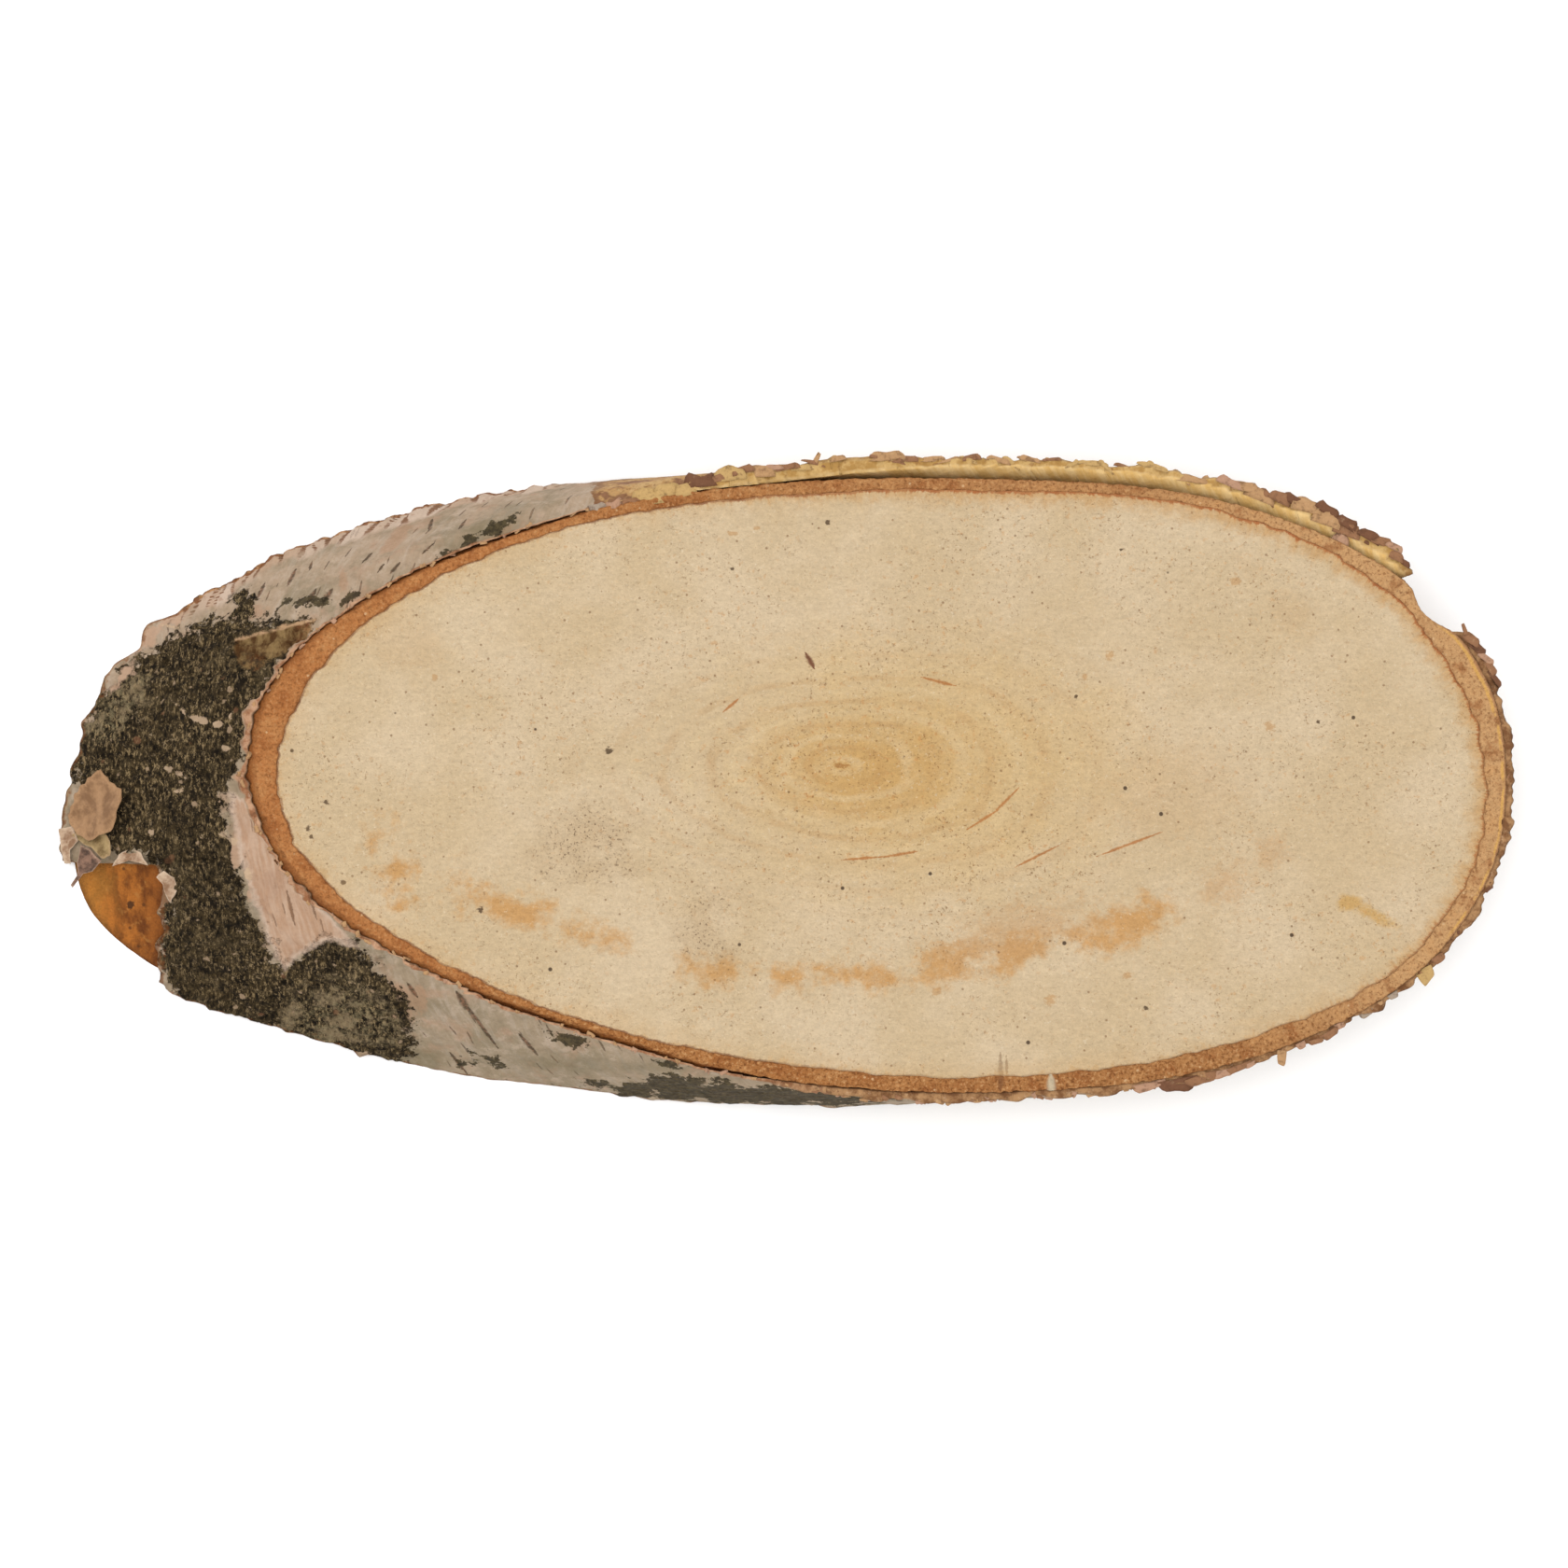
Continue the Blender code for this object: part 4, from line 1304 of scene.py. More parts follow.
# %% [markdown]
# The papery bark needs several finishes in one, because it is one skin: smooth paper, slits, crust,
# the bare strip, the sawn rim and the lining of the lip. They are laid over each other through the
# stored distances. The slits run round the trunk, so their pattern uses places measured along the
# trunk's own axis and squashed along it, and then every slit follows the trunk by itself.

# %% Finish of the outer bark: the paper
bark = Finish("papery_birch_bark", roughness=0.78, specular=0.08)
up_slope = bark.vector("DOT_PRODUCT", bark.mm, tuple(UP_SLOPE), output=1)
sideways = bark.vector("DOT_PRODUCT", bark.mm, tuple(SIDEWAYS), output=1)
along = bark.vector("DOT_PRODUCT", bark.mm, tuple(AXIS), output=1)
squashed = bark.node("ShaderNodeCombineXYZ", {}, {"X": up_slope, "Y": sideways, "Z": along * 7})
streaks = bark.noise(7.0, detail=4, roughness=0.6, where=squashed)
drift = bark.noise(7.0, detail=4, roughness=0.6, shift=14)
grain = bark.noise(0.7, detail=3, roughness=0.7, shift=23)
place_in_slice = bark.part(bark.mm, 1)
upper = place_in_slice.ramp(-5, 15)
paper = bark.mix(upper, paint(168, 148, 122), paint(178, 154, 128))
paper = paper.coat(drift.ramp(0.42, 0.62) * 0.75, 148, 132, 106)
paper = paper.coat(streaks.ramp(0.45, 0.72) * 0.28, 208, 192, 176)
mottle = bark.noise(2.2, detail=4, roughness=0.7, shift=47)
paper = paper.coat(mottle.ramp(0.5, 0.68) * 0.45, 204, 182, 160)
paper = paper.coat(mottle.ramp(0.48, 0.34) * 0.4, 142, 122, 98)
pink_clouds = bark.ramp(bark.noise(5.0, detail=4, roughness=0.6, shift=45), 0.52, 0.7)
paper = paper.coat(pink_clouds * 0.45, 184, 146, 118)
paper = paper.coat(streaks.ramp(0.42, 0.25) * 0.25, 132, 114, 92)
tan_patch = bark.ramp(bark.stored("tan_haze") + (mottle - 0.5) * 5, -0.5, 0.8)
paper = paper.coat(tan_patch * 0.5, 176, 134, 102)
bark_waver = (grain - 0.5) * 0.5
slits = any_of(bark, dash_share, bark_waver, SLITS)
slit_cells = bark.cells(9.0, where=bark.node("ShaderNodeCombineXYZ", {},
                                             {"X": up_slope, "Y": sideways, "Z": along * 8}), shift=3)
slits = bark.sum("MAXIMUM", slits, bark.ramp(slit_cells + (grain - 0.5) * 0.1, 0.17, 0.12) * 0.7)
slit_colour = bark.mix(grain.ramp(0.45, 0.6), paint(74, 56, 38), paint(128, 86, 62))
paper = bark.mix(slits * 0.85, paper, slit_colour)
blotch_edge = bark.noise(3.0, detail=5, roughness=0.7, shift=52)
olive = bark.ramp(bark.stored("blotch") + (blotch_edge - 0.5) * 5.5, 0.0, 0.22)
olive_colour = bark.mix(grain.ramp(0.4, 0.65), paint(46, 38, 20), paint(80, 68, 42))
green_haze = bark.ramp(bark.stored("haze") + (streaks - 0.5) * 4, -1.2, 1.6)
paper = paper.coat(green_haze * 0.5, 112, 102, 72)
paper = bark.mix(olive * 0.92, paper, olive_colour)
print("paper with slits and olive blotches")

# %% Finish of the outer bark: crust, bare strip and hollow
ragged_edge = bark.noise(1.9, detail=5, roughness=0.7, shift=61)
crust_edge = (ragged_edge - 0.5) * 8 + (blotch_edge - 0.5) * 9
crust_share = bark.ramp(bark.stored("lichen") + crust_edge, -0.3, 0.3)
bare_share = bark.ramp(bark.stored("bare") + (ragged_edge - 0.5) * 4, -0.2, 0.3)
crust_share = crust_share * (1 - bare_share)
flecks = bark.noise(1.4, detail=5, roughness=0.8, shift=72)
fibre_place = bark.vector("MULTIPLY", bark.mm, (1.5, 0.6, 1.0))
fine_flecks = bark.noise(0.75, detail=4, roughness=0.85, where=fibre_place, shift=75)
patches = bark.noise(3.4, detail=4, roughness=0.6, shift=83)
crust = bark.mix(flecks.ramp(0.4, 0.6), paint(34, 27, 18), paint(76, 62, 40))
crust = crust.coat(patches.ramp(0.52, 0.7) * 0.5, 104, 88, 62)
crust = crust.coat(patches.ramp(0.46, 0.3) * 0.6, 36, 29, 21)
light_zone = bark.ramp(bark.noise(11, detail=2, shift=96), 0.4, 0.62)
green = bark.ramp(bark.stored("yellow") + (patches - 0.5) * 10, -2.0, 2.5)
speckle = fine_flecks.ramp(0.52, 0.62) * (0.5 + light_zone * 0.35 + green * 0.5)
crust = crust.coat(speckle, 172, 146, 106)
pale_patches = patches.ramp(0.46, 0.62)
crust = crust.coat(green * pale_patches * 0.75, 158, 136, 104)
crust = crust.coat(green * flecks.ramp(0.45, 0.62) * 0.45, 160, 146, 112)
larger_flecks = bark.ramp(bark.noise(1.3, detail=4, roughness=0.8, shift=77), 0.6, 0.68)
crust = crust.coat(larger_flecks * 0.7, 172, 148, 116)
pits = fine_flecks.ramp(0.47, 0.37)
crust = crust.coat(pits * 0.75, 17, 13, 8)
chip_shape = bark.cells(3.1, shift=38) + (ragged_edge - 0.5) * 0.3
crust = crust.coat(bark.ramp(chip_shape + (blotch_edge - 0.5) * 0.9, 0.13, 0.07) * 0.8, 182, 154, 124)
rust_shape = bark.cells(4.7, shift=58) + (ragged_edge - 0.5) * 0.3
crust = crust.coat(rust_shape.ramp(0.15, 0.08) * 0.6, 140, 98, 70)
strip_share = bark.ramp(bark.stored("strip") + (ragged_edge - 0.5) * 2.2, -0.3, 0.4)
strip_streaks = bark.noise(4.0, detail=3, where=squashed, shift=17)
strip = bark.mix(strip_streaks.ramp(0.3, 0.7), paint(188, 150, 120), paint(202, 170, 144))
strip = strip.coat(drift.ramp(0.5, 0.68) * 0.4, 170, 132, 106)
strip = strip.coat(slits * 0.7, 120, 84, 58)
strip_line = bark.ramp(bark.stored("strip") + (ragged_edge - 0.5) * 2.2, 1.0, 0.2)
strip = strip.coat(strip_line * 0.5, 222, 200, 180)
cream_share = bark.ramp(bark.stored("cream") + (ragged_edge - 0.5) * 2.2, 0.0, 0.2)
hollow_share = bark.ramp(bark.stored("hollow") + (ragged_edge - 0.5) * 2.0, -0.2, 0.3)
hollow_streaks = bark.noise(1.6, detail=4, roughness=0.65, shift=66,
                            where=bark.vector("MULTIPLY", bark.mm, (1.0, 0.45, 1.0)))
hollow_colour = bark.mix(hollow_streaks.ramp(0.36, 0.64), paint(92, 62, 34), paint(160, 130, 86))
hollow_colour = hollow_colour.coat(drift.ramp(0.5, 0.35) * 0.5, 128, 70, 40)
hollow_low = bark.ramp(place_in_slice + (ragged_edge - 0.5) * 5, 20.6, 18.2)
hollow_colour = hollow_colour.coat(hollow_low * flecks.ramp(0.6, 0.4) * 0.9, 56, 46, 34)
from_end = bark.part(bark.mm, 0)
hollow_top = bark.ramp(place_in_slice - (from_end + 80) * 0.25 + (ragged_edge - 0.5) * 1.4, 23.0, 23.5)
hollow_colour = hollow_colour.coat(hollow_top, 204, 164, 124)
colour = bark.mix(crust_share, paper, crust)
colour = colour.coat(bare_share * 0.8, 196, 160, 132)
colour = bark.mix(strip_share, colour, strip)
colour = colour.coat(cream_share * 0.9, 206, 176, 144)
colour = bark.mix(hollow_share, colour, hollow_colour)
print("crust, strip and hollow")

# %% Finish of the outer bark: foot
to_foot_wire = bark.stored("foot")
creases = bark.noise(1.3, detail=2, roughness=0.6, shift=92)
plate_wire = bark.stored("plate")
plate_end = to_foot_wire + (ragged_edge - 0.5) * 3.0 + bark.stored("plate_shade") * 1.6
plate_share = plate_end.ramp(4.6, 3.0) * bark.stored("plate_zone")
plate_colour = bark.mix(bark.stored("plate_shade"), paint(216, 192, 172), paint(196, 162, 134))
crease_share = bark.ramp(plate_wire + (grain - 0.5) * 0.4, 0.72, 0.5) * plate_end.ramp(4.2, 2.6)
plate_colour = plate_colour.coat(crease_share * 0.95, 122, 74, 42)
plate_colour = plate_colour.coat(creases.ramp(0.62, 0.72) * 0.4, 150, 100, 64)
colour = bark.mix(plate_share * 0.8, colour, plate_colour)
foot_line = bark.ramp(to_foot_wire + (creases - 0.5) * 1.8 - bark.stored("plate_zone") * 0.35, 0.5, 0.15)
foot_colour = bark.mix(creases.ramp(0.45, 0.6), paint(134, 82, 46), paint(190, 140, 92))
colour = bark.mix(foot_line * (0.65 + bark.stored("plate_zone") * 0.25), colour, foot_colour)
print("foot with plates and creases")

# %% Finish of the outer bark: rim and torn wall
thin = bark.stored("thin")
rim_reach = bark.stored("rim") + (ragged_edge - 0.5) * (1.2 - thin * 0.7) + thin * 0.18
rim_wall = bark.ramp(rim_reach + thin * 0.2, 0.45, 0.1)
rim_noise = bark.noise(2.2, detail=4, roughness=0.65, shift=101)
rim_colour = bark.mix(rim_noise.ramp(0.38, 0.62), paint(128, 86, 54), paint(186, 142, 98))
tan_rim = bark.mix(rim_noise.ramp(0.38, 0.62), paint(158, 106, 72), paint(206, 162, 128))
rim_colour = bark.mix(thin, rim_colour, tan_rim)
rim_colour = rim_colour.coat(grain.ramp(0.55, 0.72) * 0.35, 220, 188, 152)
rim_colour = rim_colour.coat(creases.ramp(0.42, 0.3) * 0.5, 104, 72, 50)
yellow_torn = bark.mix(rim_noise.ramp(0.4, 0.6), paint(196, 152, 84), paint(222, 184, 118))
yellow_torn = yellow_torn.coat(creases.ramp(0.6, 0.7) * 0.5, 140, 92, 50)
yellow_rim = bark.stored("lip")
rim_colour = bark.mix(yellow_rim * 0.8, rim_colour, yellow_torn)
torn_noise = bark.noise(4.6, detail=3, roughness=0.6, shift=109)
torn = bark.mix(torn_noise.ramp(0.45, 0.52), paint(146, 104, 74), paint(192, 150, 98))
torn = torn.coat(torn_noise.ramp(0.56, 0.6) * 0.8, 206, 170, 118)
torn = torn.coat(grain.ramp(0.5, 0.32) * 0.4, 120, 82, 50)
torn = torn.coat(creases.ramp(0.62, 0.7) * 0.6, 124, 84, 52)
torn_place = bark.stored("torn") + (ragged_edge - 0.5) * 1.3
torn = torn.coat(torn_place.ramp(0.95, 0.6) * 0.75, 136, 96, 66)
colour = bark.mix(torn_place.ramp(0.3, 0.45), colour, torn)
colour = bark.mix(rim_wall * (0.9 - yellow_rim * 0.5), colour, rim_colour)
colour = bark.mix(bark.stored("sawn"), colour, rim_colour)
print("rim and torn wall")

# %% Finish of the outer bark: lining and relief
# Painted shade: the lining gets darker with depth below the rim towards the inner bark, as shade inside the
# open lip. Its yellow paints are mixed lighter than the bark's own yellow, as painted light that makes up for
# that shade.
lip_shade_share = bark.ramp(bark.stored("rim") + (drift - 0.5) * 1.2, 1.8, 3.8)
lining = bark.mix(streaks.ramp(0.35, 0.65), paint(232, 186, 112), paint(248, 210, 146))
lining = lining.coat(creases.ramp(0.64, 0.74) * 0.35, 176, 122, 64)
lining = lining.coat(lip_shade_share, 104, 68, 28)
# Painted shade: outside the open lip the lining lies in the narrow crevice against the inner bark, and is
# painted dark brown.
lining = bark.mix(yellow_rim, paint(104, 68, 40), lining)
colour = bark.mix(bark.stored("lining"), colour, lining)
colour = bark.multiply(colour, 1 + (grain - 0.5) * 0.36)
smooth_relief = (1 - crust_share) * (streaks * 0.4 + grain * 0.35)
rough_relief = crust_share * (fine_flecks * 1.4 + flecks * 0.8) + smooth_relief
rough_relief = rough_relief - slits * (1 - crust_share) * 0.6
bark.put(Base_Color=colour, Normal=bark.bump(rough_relief, 0.0004, 0.8),
         Roughness=0.72 + crust_share * 0.2)
print("lining of the lip, and relief")

# %% Measures on the outer bark
torn_reach = paper_array[:, 0] / MM + TORN_FROM
torn_depth = np.clip(TORN_DEPTH - torn_reach * TORN_RISE, TORN_SHALLOW, TORN_DEPTH) - to_rim
torn_zone = smooth_steps((torn_reach + crack * 3) / 4.0) * smooth_steps((torn_depth + crack * 4) / 2.5)
torn_zone *= smooth_steps((degrees - 78 + crack * 4) / 6) * (degrees < 150)
lip_zone = smooth_steps((degrees - 36) / 4) * smooth_steps((118 - degrees) / 8)
thin_zone = smooth_steps((degrees - THIN_FIRST) / 14) * smooth_steps((THIN_LAST - degrees) / 14)
patches_on_wall = {"lichen": lichen, "bare": bare_grey, "strip": pink_strip, "hollow": hollow}
paper_measures = {name: np.where(on_wall > 0, depth, FAR_OUTSIDE) for name, depth in patches_on_wall.items()}
paper_measures |= {
    "blotch": blotch,
    "haze": haze,
    "tan_haze": tan_haze,
    "yellow": yellow_lichen,
    "cream": cream,
    "plate": plate_arch,
    "plate_shade": plate_shade,
    "plate_zone": plate_zone,
    "foot": np.where(on_wall > 0, to_foot, -FAR_OUTSIDE),
    "rim": to_rim,
    "thin": thin_zone,
    "torn": torn_zone * on_wall,
    "lip": lip_zone,
    "sawn": (paper_kinds == 1).astype(float),
    "lining": (paper_kinds == 2).astype(float),
}
make_piece("papery_bark", paper_array, band_faces(PAPER_COLUMNS, paper_rows),
                         bark.material, "outer_bark", paper_measures)

# %% [markdown]
# Torn scraps. At the far left a flap of dry bark lifts off like a brown leaf, with smaller shreds
# below it. Each scrap is a thin sheet cut to its own outline. Its height follows the bark under it,
# and it lifts towards its free side, so that light and shadow show it as a loose piece.

# %% Outline and ground of a scrap
SCRAP_THICKNESS = 0.00028
SCRAP_RINGS = 7
SCRAP_EDGE_STEP = 0.35
SCRAP_RAGGED = 0.10
SCRAP_CLEARANCE = 0.45
LOWEST_SCRAP = 0.35


def bark_height(x, y):
    """Height of the papery bark's outside at a place seen from above, in metres."""
    low = 0.0
    high = THICKNESS
    for _ in range(18):
        middle = (low + high) / 2
        centre = FOOT_CENTRE.lerp(TOP_CENTRE, middle / THICKNESS)
        across = (x - centre.x) * math.sin(SAW_SLANT)
        turn = math.atan2(y - centre.y, across) % math.tau
        reach = math.hypot(across, y - centre.y)
        if reach < paper_outside(turn, middle):
            low = middle
        else:
            high = middle
    return low


def dense_outline(outline, ragged_by, seed):
    """The outline in short steps with a torn edge."""
    points = []
    for (ax, ay), (bx, by) in zip(outline, outline[1:] + outline[:1]):
        steps = max(1, round(math.hypot(bx - ax, by - ay) / SCRAP_EDGE_STEP))
        for step in range(steps):
            share = step / steps
            points.append(Vector((ax + (bx - ax) * share, ay + (by - ay) * share, 0)))
    middle = sum(points, Vector()) / len(points)
    for point in points:
        push = 1 + ragged_by * bumps(point, 0.9, seed)
        point.xy = (middle + (point - middle) * push).xy
    return points, middle


print("a line of 1 mm has", len(dense_outline([(0, 0), (1, 0)], 0.0, 0)[0]) // 2, "steps")

# %% Building a scrap
def close_sheet(rings, middle_point, thickness):
    """Points and faces of a thin closed sheet, from rings round a middle point."""
    count = len(rings[0])
    front = [middle_point] + [point for ring in rings for point in ring]
    back = [point - Vector((0, 0, thickness)) for point in front]
    last = 1 + (len(rings) - 1) * count
    faces = disc_faces(0, count, len(rings), True)
    faces += disc_faces(len(front), count, len(rings), False)
    faces += wall_faces(last, len(front) + last, count)
    return front + back, faces


def make_scrap(name, finish, root, lift, crease, seed, outline):
    """A torn scrap held at root, a place in mm, that lifts by up to lift mm away from it."""
    edge, middle = dense_outline(outline, SCRAP_RAGGED, seed)
    reach = max((Vector((*root, 0)) - point).length for point in edge)
    rings = []
    away = []

    def raised(point, share):
        """The point on the upper side of the scrap, in metres."""
        far = smooth_step((Vector((*root, 0)) - point).length / reach)
        ground = bark_height(point.x * MM, point.y * MM) / MM
        wave = crease * bumps(point, 3.0, seed + 1) + 0.4 * crease * bumps(point, 1.2, seed + 2)
        height = ground + SCRAP_CLEARANCE + lift * far + wave * (0.4 + far)
        away.append(share)
        return Vector((point.x, point.y, max(LOWEST_SCRAP, height))) * MM

    centre = raised(middle, 0.0)
    for ring in range(1, SCRAP_RINGS + 1):
        share = ring / SCRAP_RINGS
        rings.append([raised(middle.lerp(point, share), share) for point in edge])
    points, faces = close_sheet(rings, centre, SCRAP_THICKNESS)
    make_piece(name, points, faces, finish, "outer_bark", {"edge_share": away + away})


print("scrap helpers ready")

# %% Finish of the scraps
def scrap_finish(name, dark, light, edge_colour):
    """Dry bark seen from its inner side, with veins and a paler torn edge."""
    finish = Finish(name, roughness=0.7, specular=0.25)
    veins = finish.noise(2.2, detail=5, roughness=0.65)
    fine_veins = finish.noise(0.6, detail=3, roughness=0.7, shift=8)
    shade = finish.mix(veins.ramp(0.35, 0.65), dark, light)
    torn = finish.ramp(finish.stored("edge_share") + (fine_veins - 0.5) * 0.3, 0.82, 1.0)
    shade = finish.mix(torn * 0.7, shade, edge_colour)
    shade = finish.multiply(shade, 1 + (fine_veins - 0.5) * 0.3)
    finish.put(Base_Color=shade, Normal=finish.bump(veins + fine_veins * 0.5, 0.0003, 0.7))
    return finish.material


leaf_brown = scrap_finish("dry_brown_flap", paint(136, 98, 64), paint(178, 136, 96), paint(190, 146, 104))
olive_tan = scrap_finish("olive_tan_shred", paint(116, 90, 50), paint(180, 152, 104), paint(200, 164, 120))
pink_paper = scrap_finish("pale_paper_shred", paint(150, 112, 82), paint(214, 184, 154), paint(226, 200, 172))
dark_pink = scrap_finish("dark_pink_shred", paint(70, 50, 38), paint(156, 118, 96), paint(200, 166, 140))
print("four scrap finishes")

# %% The scraps
SCRAPS = {
    "flap": (leaf_brown, (-112.6, -5.5), 2.6, 0.5, 61, (
        (-107.6, 1.6), (-106.1, -0.4), (-104.4, -1.6), (-104.3, -3.1), (-105.1, -6.1), (-106.0, -8.3),
        (-107.5, -9.0), (-109.6, -9.6), (-111.9, -8.4), (-112.8, -6.7), (-112.5, -4.3), (-111.7, -2.3),
        (-110.5, -0.9), (-109.2, 0.4))),
    "shred_under_flap": (olive_tan, (-110.5, -8.5), 1.4, 0.5, 64, (
        (-112.4, -8.9), (-110.2, -8.0), (-108.1, -7.8), (-107.1, -8.5), (-106.1, -9.8), (-106.1, -12.2),
        (-107.5, -12.5), (-109.2, -10.8), (-110.5, -10.3))),
    "hook_at_far_left": (pink_paper, (-112.0, -8.0), 0.9, 0.4, 67, (
        (-114.4, -8.0), (-112.2, -7.4), (-111.3, -9.8), (-112.6, -11.2), (-112.5, -13.4), (-113.5, -13.3),
        (-114.1, -10.8))),
    "shred_at_the_tear": (dark_pink, (-109.6, -11.2), 0.7, 0.5, 70, (
        (-110.9, -10.4), (-109.5, -11.0), (-107.6, -12.9), (-109.0, -14.6), (-110.5, -15.0),
        (-112.2, -17.2), (-112.4, -16.6), (-111.3, -15.0), (-111.5, -13.3))),
    "curl_over_the_tear": (pink_paper, (-103.0, -11.2), 0.9, 0.3, 73, (
        (-105.9, -13.8), (-104.8, -11.9), (-103.0, -11.0), (-101.3, -11.6), (-100.2, -13.6),
        (-101.6, -13.2), (-103.2, -12.9))),
    "curl_beside_the_tear": (pink_paper, (-96.0, -16.8), 1.0, 0.3, 76, (
        (-98.9, -15.4), (-97.6, -14.4), (-95.9, -15.5), (-95.5, -17.6), (-96.6, -19.6), (-97.3, -18.4),
        (-97.8, -16.6))),
}
for name, scrap in SCRAPS.items():
    make_scrap(name, *scrap)

# %% [markdown]
# Broken flakes along the rim. The saw tore the papery bark into small plates along the open lip at
# the top, and again at the lower right. Each is a thin curled sheet, closed all round, that is rooted
# in the bark and leans outwards.

# %% Rim flakes
FLAKE_ROWS = 4
FLAKE_COLUMNS = 6
FLAKE_SKIN = 0.0003
FLAKE_WAVE = 0.0005
FLAKE_WAVE_SIZE = 0.0016
FLAKE_TEAR = 0.35
FLAKE_TEAR_SIZE = 0.0019
FLAKE_HEIGHT = 0.0001
SMALL_ROOT = 0.0004
rng = random.Random(18)


def flake_grid(turn, height, root, width, length, lift, heading, curl, seed):
    """A small curled plate rooted in the bark. A lift of 90 degrees lays it flat, pointing outwards."""
    here = place(turn, height, paper_outside(turn, height) - root)
    onward = (place(turn + 0.01, height, TRUNK_RADIUS) - place(turn, height, TRUNK_RADIUS)).normalized()
    up = Vector((0, 0, 1))
    out = onward.cross(up)
    cos_heading = math.cos(math.radians(heading))
    sin_heading = math.sin(math.radians(heading))
    flat = out * cos_heading + onward * sin_heading
    side = onward * cos_heading - out * sin_heading
    point = here
    grid = []
    for row in range(FLAKE_ROWS + 1):
        gone = row / FLAKE_ROWS
        angle = math.radians(lift + curl * gone)
        forward = flat * math.sin(angle) + up * math.cos(angle)
        facing = up * math.sin(angle) - flat * math.cos(angle)
        half_width = width / 2 * (1 - 0.35 * gone**3)
        line = []
        for column in range(FLAKE_COLUMNS + 1):
            across = 2 * column / FLAKE_COLUMNS - 1
            spot = point + side * across * half_width
            torn = FLAKE_TEAR * length * gone * bumps(spot, FLAKE_TEAR_SIZE, seed)
            wave = FLAKE_WAVE * bumps(spot, FLAKE_WAVE_SIZE, seed + 1)
            spot += forward * torn + facing * (wave - FLAKE_WAVE * across * across * gone)
            line.append((spot, facing))
        grid.append(line)
        point += forward * (length / FLAKE_ROWS)
    return grid


print("a flake has", (FLAKE_ROWS + 1) * (FLAKE_COLUMNS + 1), "points a side")

# %% Gathering the flakes
flake_points = []
flake_faces = []
flake_tints = []


def add_flake(tint, *sizes):
    """Adds one flake, closed all round, to the heap."""
    grid = flake_grid(*sizes)
    first = len(flake_points)
    wide = FLAKE_COLUMNS + 1
    deep = FLAKE_ROWS + 1
    for layer in (0.5, -0.5):
        for line in grid:
            for spot, facing in line:
                point = spot + facing * FLAKE_SKIN * layer
                point.z = min(THICKNESS, max(0.0, point.z))
                flake_points.append(point)
                flake_tints.append(tint)
    back = wide * deep
    for row in range(FLAKE_ROWS):
        for column in range(FLAKE_COLUMNS):
            a = first + row * wide + column
            flake_faces.append((a, a + 1, a + 1 + wide, a + wide))
            flake_faces.append((a + back, a + wide + back, a + 1 + wide + back, a + 1 + back))
    border = [column for column in range(wide)]
    border += [row * wide + wide - 1 for row in range(1, deep)]
    border += [(deep - 1) * wide + column for column in range(wide - 2, -1, -1)]
    border += [row * wide for row in range(deep - 2, 0, -1)]
    for here, following in zip(border, border[1:] + border[:1]):
        flake_faces.append((first + here, first + here + back,
                            first + following + back, first + following))


print("flakes so far:", len(flake_points))

# %% [markdown]
# The large plates are placed one by one, by the turn where each stands on the rim. Tints run from
# yellow lining over tan, brown and dark brown to pink and grey skin. Small flakes fill in by chance.

